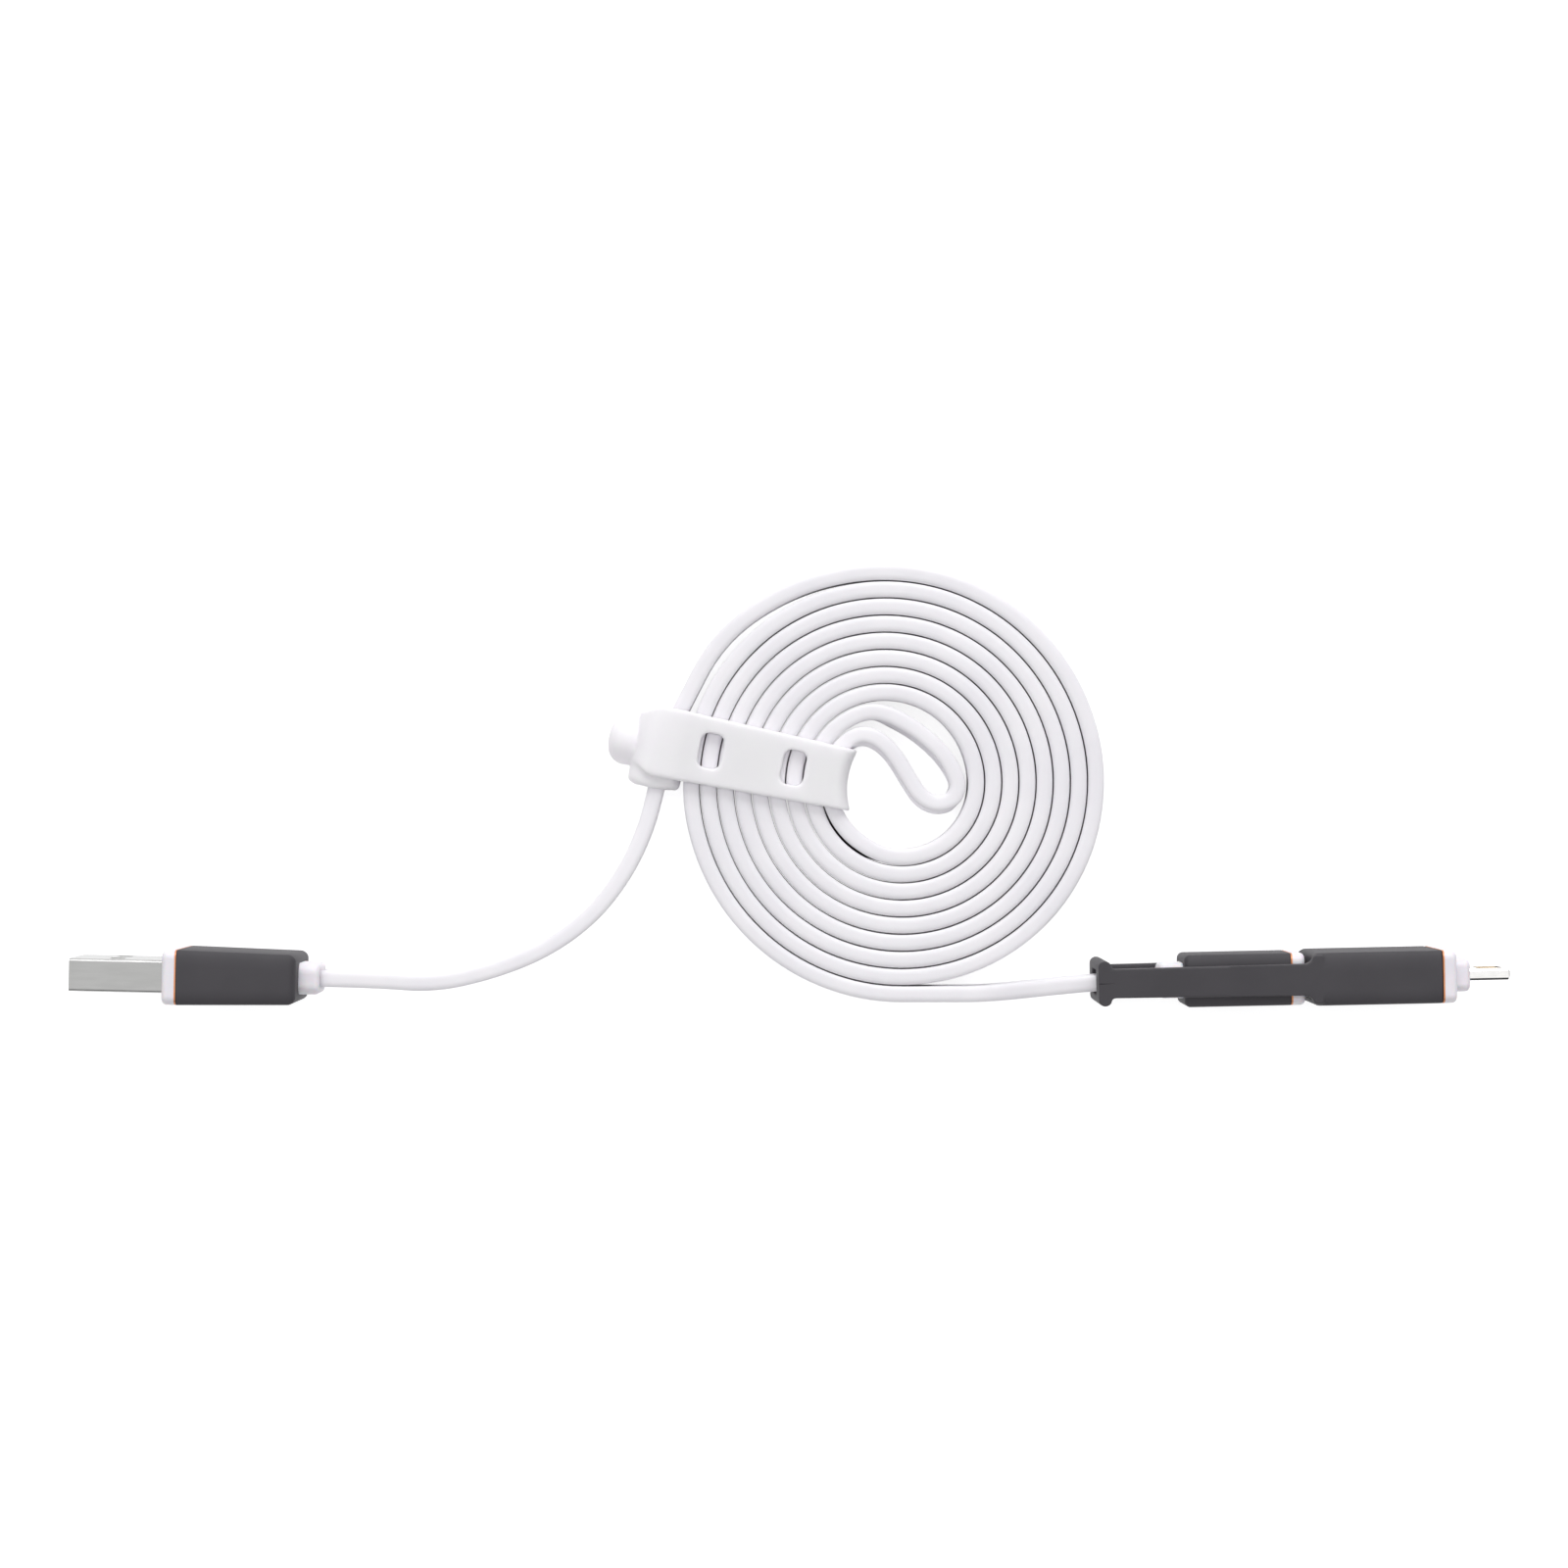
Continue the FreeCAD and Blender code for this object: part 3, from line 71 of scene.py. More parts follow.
def place(origin, degrees):
    """A matrix from millimetres in a piece's own axes to metres in the frame."""
    turn = Matrix.Rotation(math.radians(degrees), 4, "Z")
    return Matrix.Scale(MM, 4) @ Matrix.Translation(origin) @ turn


USB_PLACE = place(EXIT_USB, USB_TURN)
PHONE_PLACE = place(EXIT_PHONE, PHONE_TURN)
TIE_PLACE = place(TIE_ORIGIN, TIE_TURN)
print(f"the plugs' cord exits are {(EXIT_PHONE - EXIT_USB).length:.1f} mm apart")

# %% [markdown]
# ## From a mesh to a piece
#
# A mesh becomes a piece of the object when it is laid in its place, has a finish and rides on a
# body that moves. A piece that stands for a plain solid also says which one, so that the solid is
# hidden and goes on working in the motion model.

# %% One function for every new piece
def new_piece(name, mesh_data, matrix, material, body, stands_for=()):
    """A finished piece: laid in place, smooth-shaded, riding on its body."""
    mesh_data.transform(matrix)
    for polygon in mesh_data.polygons:
        polygon.use_smooth = True
    piece = bpy.data.objects.new(name, mesh_data)
    bpy.context.scene.collection.objects.link(piece)
    piece.data.materials.clear()
    piece.data.materials.append(material)
    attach(piece, body)
    if stands_for:
        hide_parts(*stands_for)
    print(name, "has", len(mesh_data.polygons), "faces")
    return piece


# %% [markdown]
# ## Colours and nodes
#
# Colours are written as a painter reads them, in sRGB hex, and Blender wants linear light, so one
# function turns the one into the other by the standard's own curve. One more function adds a
# node, with its settings and its links, so that a material reads as a short list of its makings.

# %% Colour and node helpers
def linear(hex_colour):
    """An sRGB hex colour as linear red, green, blue and alpha."""
    channels = [int(hex_colour[i : i + 2], 16) / 255 for i in (1, 3, 5)]
    return [c / 12.92 if c <= 0.04045 else ((c + 0.055) / 1.055) ** 2.4 for c in channels] + [1.0]


def add(tree, kind, inputs=None, **settings):
    """A new node: settings are its own, and inputs are values or links for its sockets."""
    node = tree.nodes.new(kind)
    for name, value in settings.items():
        setattr(node, name, value)
    for name, value in (inputs or {}).items():
        if isinstance(value, bpy.types.NodeSocket):
            tree.links.new(value, node.inputs[name])
        else:
            node.inputs[name].default_value = value
    return node


def new_material(name, **shader):
    """A material with one Principled shader, whose fixed values are set on its own sockets."""
    made = bpy.data.materials.new(name)
    made.use_nodes = True
    tree = made.node_tree
    tree.nodes.clear()
    principled = add(tree, "ShaderNodeBsdfPrincipled", shader)
    add(tree, "ShaderNodeOutputMaterial", {"Surface": principled.outputs["BSDF"]})
    return made, tree, principled


print(f"#808080 is {linear('#808080')[0]:.2f} of full white in linear light")

# %% [markdown]
# ## Tone and grain
#
# No made surface has one flat tone. Its colour drifts a little from place to place, and its tool
# or its rolls leave a fine relief. Both are noise, and its scale is a real size in millimetres,
# measured on the piece itself, so it stays put from every side. A tool's real texture is well
# under 0.1 mm here and wouldn't show, so each grain is drawn a few tenths of a millimetre coarse.

# %% Two patterns of a real size
TONE_SPREAD = (0.35, 0.65)


def blotches(tree, principled, light, dark, size_mm, stretch=(1, 1, 1)):
    """Colour that drifts between two near tones, in patches of a real size."""
    where = add(tree, "ShaderNodeTexCoord")
    scaled = add(
        tree, "ShaderNodeMapping", {"Vector": where.outputs["Object"], "Scale": stretch}
    )
    noise = add(
        tree,
        "ShaderNodeTexNoise",
        {"Vector": scaled.outputs["Vector"], "Scale": 1 / (size_mm * MM), "Detail": 3.0},
    )
    ramp = add(tree, "ShaderNodeValToRGB", {"Fac": noise.outputs["Fac"]})
    ends = ramp.color_ramp.elements
    ends[0].position, ends[1].position = TONE_SPREAD
    ends[0].color = linear(dark)
    ends[1].color = linear(light)
    tree.links.new(ramp.outputs["Color"], principled.inputs["Base Color"])


def grain(tree, principled, size_mm, depth_mm, stretch=(1, 1, 1)):
    """A fine relief of a real grain size and depth."""
    where = add(tree, "ShaderNodeTexCoord")
    scaled = add(
        tree, "ShaderNodeMapping", {"Vector": where.outputs["Object"], "Scale": stretch}
    )
    noise = add(
        tree,
        "ShaderNodeTexNoise",
        {"Vector": scaled.outputs["Vector"], "Scale": 1 / (size_mm * MM), "Detail": 2.0},
    )
    bump = add(
        tree,
        "ShaderNodeBump",
        {"Height": noise.outputs["Fac"], "Distance": depth_mm * MM, "Strength": 1.0},
    )
    tree.links.new(bump.outputs["Normal"], principled.inputs["Normal"])


# %% [markdown]
# ## Painted shade in the creases
#
# Between two turns of cord there is a narrow crease that loses light. The pale jacket would light
# it up from both sides, so shade is painted into the jacket's own colour: it darkens where the
# surface faces itself at close range. Only the cord's own surface counts, or each collar would leave a
# painted dark ring on it.

# %% Painted shade in narrow gaps
# Painted shade: in narrow gaps the colour runs down to a dark tone.
CREASE_SHADE_SPREAD, CREASE_SHADE_SAMPLES = (0.2, 0.6), 8


def painted_crease_shade(tree, principled, reach_mm, shade):
    """Painted shade: the same colour, but darker in a piece's own narrow gaps, where little light gets
    in.
    """
    reach = {"Distance": reach_mm * MM}
    openness = add(
        tree, "ShaderNodeAmbientOcclusion", reach, samples=CREASE_SHADE_SAMPLES, only_local=True
    )
    ramp = add(tree, "ShaderNodeValToRGB", {"Fac": openness.outputs["AO"]})
    ends = ramp.color_ramp.elements
    ends[0].position, ends[1].position = CREASE_SHADE_SPREAD
    ends[0].color = linear(shade)
    ends[1].color = linear("#FFFFFF")
    plain = principled.inputs["Base Color"].links[0].from_socket
    both = add(
        tree,
        "ShaderNodeMix",
        {0: 1.0, 6: plain, 7: ramp.outputs["Color"]},
        data_type="RGBA",
        blend_type="MULTIPLY",
    )
    tree.links.new(both.outputs[2], principled.inputs["Base Color"])


# %% [markdown]
# ## The soft finishes
#
# Three soft plastics make most of what the eye meets. The cord's jacket is extruded, the tie is
# moulded silicone, and all three sleeves are one dark elastomer. Both white ones have nearly the
# same colour, and what tells them apart is how far light goes in, so subsurface depth carries the
# difference. The dark one lets none in and is the most matt of the three.

# %% Cord jacket, silicone and the dark elastomer
def cord_jacket():
    """Thermoplastic elastomer drawn through a die: a satin skin with slightly soft shadows."""
    made, tree, shader = new_material(
        "extruded TPE jacket",
        **{"Roughness": 0.42, "IOR": 1.5, "Subsurface Weight": 0.1, "Subsurface Scale": 0.001},
    )
    shader.inputs["Subsurface Radius"].default_value = (1.0, 0.85, 0.9)
    blotches(tree, shader, "#F4F2F6", "#EFEDF2", size_mm=9.0)
    # Painted shade: the jacket darkens in the narrow creases between its turns.
    painted_crease_shade(tree, shader, reach_mm=0.7, shade="#5E5458")
    grain(tree, shader, size_mm=0.5, depth_mm=0.004)
    return made


def silicone():
    """Silicone from a fine-blasted tool: waxy, because light travels some way inside it."""
    made, tree, shader = new_material(
        "moulded silicone rubber",
        **{"Roughness": 0.5, "IOR": 1.43, "Subsurface Weight": 0.5, "Subsurface Scale": 0.0025},
    )
    shader.inputs["Subsurface Radius"].default_value = (1.0, 0.9, 1.0)
    blotches(tree, shader, "#FCF8FE", "#F9F5FC", size_mm=7.0)
    grain(tree, shader, size_mm=0.6, depth_mm=0.004)
    return made


def soft_touch():
    """Dark elastomer from a spark-eroded tool: matt, with highlights spread wide and weak."""
    made, tree, shader = new_material(
        "soft-touch elastomer", **{"Roughness": 0.62, "IOR": 1.5, "Specular IOR Level": 0.35}
    )
    blotches(tree, shader, "#454347", "#424044", size_mm=6.0)
    grain(tree, shader, size_mm=0.3, depth_mm=0.006)
    return made


JACKET = cord_jacket()
SILICONE = silicone()
RUBBER = soft_touch()
print("soft finishes:", ", ".join(made.name for made in (JACKET, SILICONE, RUBBER)))

# %% [markdown]
# ## Hard plastics
#
# The caps and collars are a white polycarbonate blend, satin from the tool, with a cool lilac
# cast. The thin copper-coloured line between cap and sleeve is lacquer over plastic, so it is only
# part metal: a full metal would lose its orange to whatever white or dark thing it mirrors.

# %% Caps and collars, and the accent line
def white_blend():
    """Injection-moulded polycarbonate blend: a clean white with a soft wide highlight."""
    made, tree, shader = new_material(
        "white polycarbonate blend",
        **{"Roughness": 0.45, "IOR": 1.58, "Subsurface Weight": 0.15, "Subsurface Scale": 0.001},
    )
    blotches(tree, shader, "#F0ECF2", "#EBE7EE", size_mm=4.0)
    grain(tree, shader, size_mm=0.8, depth_mm=0.003)
    return made


def copper_lacquer():
    """Sprayed lacquer with fine metal flakes: a warm line that glints a little and stays orange."""
    made, tree, shader = new_material(
        "copper-coloured lacquer", **{"Roughness": 0.35, "IOR": 1.5, "Metallic": 0.35}
    )
    blotches(tree, shader, "#E39A6B", "#D98A5C", size_mm=1.5)
    return made


def moulded(name, light, dark, roughness):
    """An ordinary moulded or laminated plastic piece, quiet enough to stay in the background."""
    made, tree, shader = new_material(name, **{"Roughness": roughness, "IOR": 1.5})
    blotches(tree, shader, light, dark, size_mm=2.0)
    grain(tree, shader, size_mm=0.4, depth_mm=0.004)
    return made


# %% [markdown]
# ## Metals
#
# The USB-A mouth is folded from nickel-plated steel sheet, and its satin grain runs the way the
# sheet was rolled, so its noise is stretched along the plug. The slim tip is polished and then
# plated, and shows hardly anything but what is round it. A metal has no colour of its own beside
# what it mirrors, so its base colour is simply how much of each colour it gives back.

# %% Steel, polished tip and contacts
def rolled_nickel():
    """Rolled steel under nickel: a grey satin sheet, finely streaked along the plug."""
    made, tree, shader = new_material(
        "nickel-plated rolled steel", **{"Roughness": 0.3, "Metallic": 1.0}
    )
    blotches(tree, shader, "#BABAB9", "#B5B5B4", size_mm=0.6, stretch=(0.15, 1, 1))
    grain(tree, shader, size_mm=0.25, depth_mm=0.0015, stretch=(0.1, 1, 1))
    return made


def polished_nickel():
    """Nickel over a polished base: a bright, slightly blurred mirror."""
    made, tree, shader = new_material(
        "polished nickel plate", **{"Roughness": 0.14, "Metallic": 1.0}
    )
    blotches(tree, shader, "#FBFAF8", "#F4F3F1", size_mm=1.0)
    return made


def gold_plate():
    """Thin gold over stamped bronze: warm yellow, a little blurred."""
    made, tree, shader = new_material("gold-plated bronze", **{"Roughness": 0.25, "Metallic": 1.0})
    blotches(tree, shader, "#E0BE6C", "#D2AC58", size_mm=0.8)
    return made


# %% [markdown]
# ## A finish for every piece
#
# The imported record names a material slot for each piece, and each slot gets one finish. What is
# inside the mouths shows only from the front, and plain tones tell it apart: nylon is off-white
# and dull from its glass fibres, polypropylene is milky, wire enamel and solder resist are
# coloured varnish, and the epoxy and the liquid-crystal polymer are near-black and satin.

# %% Slots and finishes
FINISHES = {
    "cord_jacket": JACKET,
    "white_silicone": SILICONE,
    "dark_soft_touch": RUBBER,
    "white_plastic": white_blend(),
    "copper_accent": copper_lacquer(),
    "nickel_shell": rolled_nickel(),
    "polished_tip": polished_nickel(),
    "gold_contact": gold_plate(),
    "tongue_plastic": moulded("glass-filled nylon", "#ECEBE6", "#E3E2DC", 0.45),
    "inner_mould": moulded("natural polypropylene", "#C9C9CC", "#BDBDC0", 0.5),
    "wire_insulation": moulded("red wire enamel", "#A33A30", "#8C2F27", 0.4),
    "circuit_board": moulded("green solder resist", "#1D6B41", "#175A36", 0.35),
    "chip_package": moulded("black epoxy", "#1E1E20", "#171719", 0.5),
    "black_insert": moulded("black liquid-crystal polymer", "#2A2A2C", "#222224", 0.45),
}
slot_of = {part["node"]: part["material_slot"] for part in frame["record"]["subparts"]}
for name, node in nodes.items():
    for material_slot in node.material_slots:
        material_slot.material = FINISHES[slot_of[name]]
print(len(FINISHES), "finishes on", len(nodes), "pieces")

# %% [markdown]
# ## The camera
#
# The cable was photographed from straight above, about 55 cm up, so that every standing side
# leans slightly away from the middle of the picture. The focal length follows from the width of
# table that the picture takes in, so it needn't be guessed.

# %% Camera straight above the table
CAMERA_AT = Vector((-0.95, 9.71, 550.0)) * MM
SEEN_MM = 218.6
SENSOR_MM = 36.0
camera = bpy.data.objects.new("camera", bpy.data.cameras.new("camera"))
camera.data.sensor_width = SENSOR_MM
camera.data.lens = camera.data.sensor_width * (CAMERA_AT.z / MM) / SEEN_MM
camera.location = CAMERA_AT
bpy.context.scene.collection.objects.link(camera)
bpy.context.scene.camera = camera
bpy.context.scene.view_settings.view_transform = "Standard"
print(f"camera sees {SEEN_MM} mm of table through a {camera.data.lens:.1f} mm lens")

# %% [markdown]
# ## The lamps
#
# A wide soft panel on the far side lights the far flank of each turn, and a weaker one overhead
# fills the rest. The overhead panel is kept out of reflections, so that gloss shows the tent and
# the far panel alone.

# %% Two soft panels
def panel_lamp(name, at, size, power, mirrored=True):
    """A square soft panel, in metres and watts, that faces the middle of the table."""
    lamp = bpy.data.objects.new(name, bpy.data.lights.new(name, "AREA"))
    lamp.data.shape = "SQUARE"
    lamp.data.size = size
    lamp.data.energy = power
    lamp.location = at
    lamp.rotation_mode = "QUATERNION"
    lamp.rotation_quaternion = (Vector((0, 0, 0)) - Vector(at)).to_track_quat("-Z", "Y")
    lamp.visible_glossy = mirrored
    bpy.context.scene.collection.objects.link(lamp)
    print(f"{name}: {power:.0f} W, {Vector(at).length:.2f} m away")


panel_lamp("far panel", at=(0.1, 1.3, 0.7), size=0.9, power=13.0)
panel_lamp("top panel", at=(-0.2, 0.1, 1.4), size=1.0, power=6.0, mirrored=False)

# %% [markdown]
# ## The tent
#
# Round the table stands a white tent. It lights the cable gently from all sides, yet a viewer
# sees it pure white, which is two strengths of one thing: Light Path tells a ray that looks from a
# ray that lights. Gloss gets a third answer, a darker room below the tent's hem, because polished
# metal with nothing dark to mirror would vanish on a white table.

# %% What a ray meets when it leaves the table
TENT_STRENGTH = 0.42
TENT_HEM = (0.42, 0.68)
TENT_WHITE, BELOW_HEM = "#FFFFFF", "#444446"


def seen_directly(tree):
    """1 for a ray that a viewer, a mirror or clear glass sends out, and 0 for lighting."""
    path = add(tree, "ShaderNodeLightPath")
    some = add(
        tree,
        "ShaderNodeMath",
        {0: path.outputs["Is Camera Ray"], 1: path.outputs["Is Glossy Ray"]},
        operation="MAXIMUM",
    )
    both = add(
        tree,
        "ShaderNodeMath",
        {0: some.outputs[0], 1: path.outputs["Is Transmission Ray"]},
        operation="MAXIMUM",
    )
    return both.outputs[0]


def tent_seen_in_gloss(tree):
    """What gloss mirrors: a white tent overhead, and the darker room below its hem."""
    towards = add(tree, "ShaderNodeTexCoord")
    parts = add(tree, "ShaderNodeSeparateXYZ", {0: towards.outputs["Generated"]})
    hem = add(
        tree,
        "ShaderNodeMapRange",
        {"Value": parts.outputs["Z"], "From Min": TENT_HEM[0], "From Max": TENT_HEM[1]},
    )
    path = add(tree, "ShaderNodeLightPath")
    share = add(
        tree,
        "ShaderNodeMath",
        {0: hem.outputs["Result"], 1: path.outputs["Is Camera Ray"]},
        operation="MAXIMUM",
    )
    return add(
        tree,
        "ShaderNodeMix",
        {0: share.outputs[0], 6: linear(BELOW_HEM), 7: linear(TENT_WHITE)},
        data_type="RGBA",
    ).outputs[2]


world = bpy.data.worlds.new("white tent")
bpy.context.scene.world = world
world.use_nodes = True
world.node_tree.nodes.clear()
sky = world.node_tree
tent = add(
    sky, "ShaderNodeBackground", {"Color": linear(TENT_WHITE), "Strength": TENT_STRENGTH}
)
white = add(sky, "ShaderNodeBackground", {"Color": tent_seen_in_gloss(sky), "Strength": 1.0})
chosen = add(
    sky, "ShaderNodeMixShader", {0: seen_directly(sky), 1: tent.outputs[0], 2: white.outputs[0]}
)
add(sky, "ShaderNodeOutputWorld", {"Surface": chosen.outputs[0]})
print("tent lights at", TENT_STRENGTH, "and is seen at 1")

# %% [markdown]
# ## The table
#
# The table is matt white card. Lit by these lamps alone it would look light grey, and more light
# would burn out the white cord. So where it is looked at, most of its white is a steady glow, and
# the rest is a surface that takes light and shadow. For lighting it stays an ordinary matt card.

# %% A white card that still takes a shadow
HALF_TABLE_M, TABLE_DROP_MM = 3.0, 0.05
CARD, SHADOW_TAKER, GLOW = "#F6F6F7", "#C8C8C9", 0.76

table_mesh = bpy.data.meshes.new("table")
corners = [(-HALF_TABLE_M, -HALF_TABLE_M, 0), (HALF_TABLE_M, -HALF_TABLE_M, 0)]
corners += [(HALF_TABLE_M, HALF_TABLE_M, 0), (-HALF_TABLE_M, HALF_TABLE_M, 0)]
table_mesh.from_pydata(corners, [], [(0, 1, 2, 3)])
table = bpy.data.objects.new("table", table_mesh)
table.location.z = -TABLE_DROP_MM * MM
bpy.context.scene.collection.objects.link(table)

card = bpy.data.materials.new("white card")
card.use_nodes = True
card.node_tree.nodes.clear()
matt = add(card.node_tree, "ShaderNodeBsdfDiffuse", {"Color": linear(CARD)})
glow = add(card.node_tree, "ShaderNodeEmission", {"Color": linear("#FFFFFF"), "Strength": GLOW})
shaded = add(card.node_tree, "ShaderNodeBsdfDiffuse", {"Color": linear(SHADOW_TAKER)})
seen = add(card.node_tree, "ShaderNodeAddShader", {0: glow.outputs[0], 1: shaded.outputs[0]})
lit = add(
    card.node_tree,
    "ShaderNodeMixShader",
    {0: seen_directly(card.node_tree), 1: matt.outputs[0], 2: seen.outputs[0]},
)
add(card.node_tree, "ShaderNodeOutputMaterial", {"Surface": lit.outputs[0]})
table_mesh.materials.append(card)
print(f"table {2 * HALF_TABLE_M:.0f} m square, {TABLE_DROP_MM} mm below the cable")

# %% [markdown]
# ## The cord's route
#
# The cord starts at the USB-A plug, sinks to the table, goes through the tie's ring and winds
# inwards, turns back in a loop in the middle of the coil, winds outwards between its own turns,
# and climbs again to the phone plug. One smooth curve follows all of it. The free stretches and
# the loop are listed points.

# %% Listed points, in millimetres
USB_ROUTE = [
    (-17.00, 16.22, 3.95),
    (-18.45, 9.60, 4.10),
    (-20.15, 3.00, 4.45),
    (-23.40, -3.50, 4.90),
    (-28.00, -9.10, 5.40),
    (-33.90, -13.20, 6.00),
    (-41.00, -16.00, 6.75),
    (-48.90, -17.75, 7.55),
    (-56.60, -17.11, 8.00),
]
PHONE_ROUTE = [
    (27.20, -19.26, 3.95),
    (37.20, -17.95, 7.70),
    (44.00, -17.35, 8.00),
]
TURNING_LOOP = [
    (2.80, 11.25),
    (3.64, 14.18),
    (5.44, 16.85),
    (7.56, 18.50),
    (9.75, 19.55),
    (12.00, 19.80),
    (15.55, 18.15),
    (18.40, 16.20),
    (21.10, 13.60),
    (22.66, 11.00),
    (23.16, 9.23),
    (22.20, 7.24),
    (20.08, 6.68),
    (17.98, 7.66),
    (16.54, 9.80),
    (14.09, 13.95),
    (11.59, 16.12),
    (9.02, 16.44),
    (6.43, 14.35),
    (5.17, 11.36),
]
print(f"{len(USB_ROUTE)} points to the tie, {len(TURNING_LOOP)} in the loop, {len(PHONE_ROUTE)} after")

# %% [markdown]
# ## The turns
#
# The turns are half circles about two centres one pitch apart, and each is one pitch larger than
# the one before, so they join without a step. A curve of order 3 touches the middle of each side
# of its control polygon, so a loop sets the control points outside the circle, by the cosine of
# half a step. Near the tie the outermost turn stands off its neighbour by a little.

# %% The spiral, worked out
COIL_LEVEL = 3.95
TURN_PITCH = 2.3625
INNER_RADIUS = 10.18
HALF_TURNS = 8
FIRST_CENTRE = Vector((12.98, 9.82))
SECOND_CENTRE = FIRST_CENTRE + Vector((TURN_PITCH, 0))
LEAVING_ANGLE = 149.5
END_STRAIGHT = 5.5
STEP = 20.0
OUTER_LIFT, LIFT_STARTS, LIFT_FULL = 0.95, 105.0, 138.0
LEAVING_LIFT = 0.35


def eased(share):
    """A share from 0 to 1 that starts and stops gently."""
    held = min(max(share, 0.0), 1.0)
    return held * held * (3 - 2 * held)


def outer_lift(degrees):
    """How far the outermost turn stands off its neighbour where it nears the tie."""
    return OUTER_LIFT * eased((degrees - LIFT_STARTS) / (LIFT_FULL - LIFT_STARTS))


def no_lift(degrees):
    """Every other turn keeps to its circle."""
    return 0.0


def arc_points(centre, radius, start, end, lift=no_lift):
    """Control points of a stretch of a circle, one in the middle of each step."""
    steps = round(abs(end - start) / STEP)
    step = (end - start) / steps
    for index in range(steps):
        degrees = start + (index + 0.5) * step
        angle = math.radians(degrees)
        reach = (radius + lift(degrees)) / math.cos(math.radians(step) / 2)
        yield Vector((*centre, COIL_LEVEL)) + reach * Vector((math.cos(angle), math.sin(angle), 0))


def cord_route():
    """All control points of the cord, from the USB-A plug to the phone plug."""
    inwards, outwards = [], []
    for half in range(HALF_TURNS, 0, -1):
        far_side = half % 2 == 0
        centre = FIRST_CENTRE if far_side else SECOND_CENTRE
        start = LEAVING_ANGLE if half == HALF_TURNS else (180 if far_side else 360)
        radius = INNER_RADIUS + half * TURN_PITCH
        lift = outer_lift if half == HALF_TURNS else no_lift
        inwards += arc_points(centre, radius, start, 0 if far_side else 180, lift)
    for half in range(HALF_TURNS + 1):
        far_side = half % 2 == 1
        centre = FIRST_CENTRE if far_side else SECOND_CENTRE
        end = 270 if half == HALF_TURNS else (180 if far_side else 360)
        radius = INNER_RADIUS + half * TURN_PITCH
        outwards += arc_points(centre, radius, 0 if far_side else 180, end)
    outer = INNER_RADIUS + HALF_TURNS * TURN_PITCH
    angle = math.radians(LEAVING_ANGLE)
    leaving = Vector((*FIRST_CENTRE, COIL_LEVEL))
    leaving += (outer + LEAVING_LIFT) * Vector((math.cos(angle), math.sin(angle), 0))
    leaving += END_STRAIGHT * Vector((-math.sin(angle), math.cos(angle), 0))
    arriving = Vector((*SECOND_CENTRE, COIL_LEVEL)) + Vector((END_STRAIGHT, -outer, 0))
    loop = [Vector((x, y, COIL_LEVEL)) for x, y in TURNING_LOOP]
    usb = [EXIT_USB] + [Vector(p) for p in reversed(USB_ROUTE)] + [leaving]
    phone = [arriving] + [Vector(p) for p in PHONE_ROUTE] + [EXIT_PHONE]
    return usb + inwards + loop + outwards + phone


# %% [markdown]
# ## One smooth line
#
# Blender works out the curve from its control points. Read back as the vertices of a curve with no
# thickness, it gives the stops that the flat section is carried along, and its real length.

# %% The curve, read back as points
LINE_RESOLUTION = 8
LEAST_STOP_MM = 0.02


def smooth_line(points):
    """The points of a smooth curve of order 3 through control points, in metres."""
    curve = bpy.data.curves.new("cord guide", "CURVE")
    curve.dimensions = "3D"
    spline = curve.splines.new("NURBS")
    spline.points.add(len(points) - 1)
    for control, point in zip(spline.points, points):
        control.co = (*(point * MM), 1.0)
    spline.order_u = 3
    spline.use_endpoint_u = True
    spline.resolution_u = LINE_RESOLUTION
    guide = bpy.data.objects.new("cord guide", curve)
    bpy.context.scene.collection.objects.link(guide)
    bpy.context.view_layer.update()
    depsgraph = bpy.context.evaluated_depsgraph_get()
    line = bpy.data.meshes.new_from_object(guide.evaluated_get(depsgraph))
    result = []
    for vertex in line.vertices:
        if not result or (vertex.co - result[-1]).length > LEAST_STOP_MM * MM:
            result.append(vertex.co.copy())
    bpy.data.objects.remove(guide)
    return result


route = cord_route()
centre_line = smooth_line(route)
cord_length = sum((b - a).length for a, b in zip(centre_line, centre_line[1:]))
print(f"{len(route)} control points, {len(centre_line)} stops, cord {cord_length:.4f} m")

# %% [markdown]
# ## The cord itself
#
# The cord is 5.5 mm wide and 2.2 mm thick and stands on its narrow edge, so a round bevel on the
# curve would be wrong. A short list of points goes round the section instead, and each stop along
# the centre line gets one ring of them, upright and square to the way the cord runs. The die gives
# the narrow edges a low crown, so the turns look almost flat with thin lines between. In the loop
# in the middle nothing holds the cord upright, and there it leans a few degrees.

# %% Sections, and a skin over rings of points
EDGE_STEPS = 8


def two_radii(corner):
    """A corner's radius across and up: it is given as a pair, or as one number for both."""
    return corner if isinstance(corner, tuple) else (corner, corner)


def rounded_outline(across, up, corner):
    """Points in order round a rectangle whose corners are round, or oval if two radii are given."""
    wide, tall = two_radii(corner)
    outline = []
    for quarter, (side, lift) in enumerate(((1, 1), (-1, 1), (-1, -1), (1, -1))):
        centre = Vector((side * (across / 2 - wide), lift * (up / 2 - tall)))
        for step in range(EDGE_STEPS + 1):
            angle = math.radians(90 * (quarter + step / EDGE_STEPS))
            outline.append(centre + Vector((wide * math.cos(angle), tall * math.sin(angle))))
    return outline


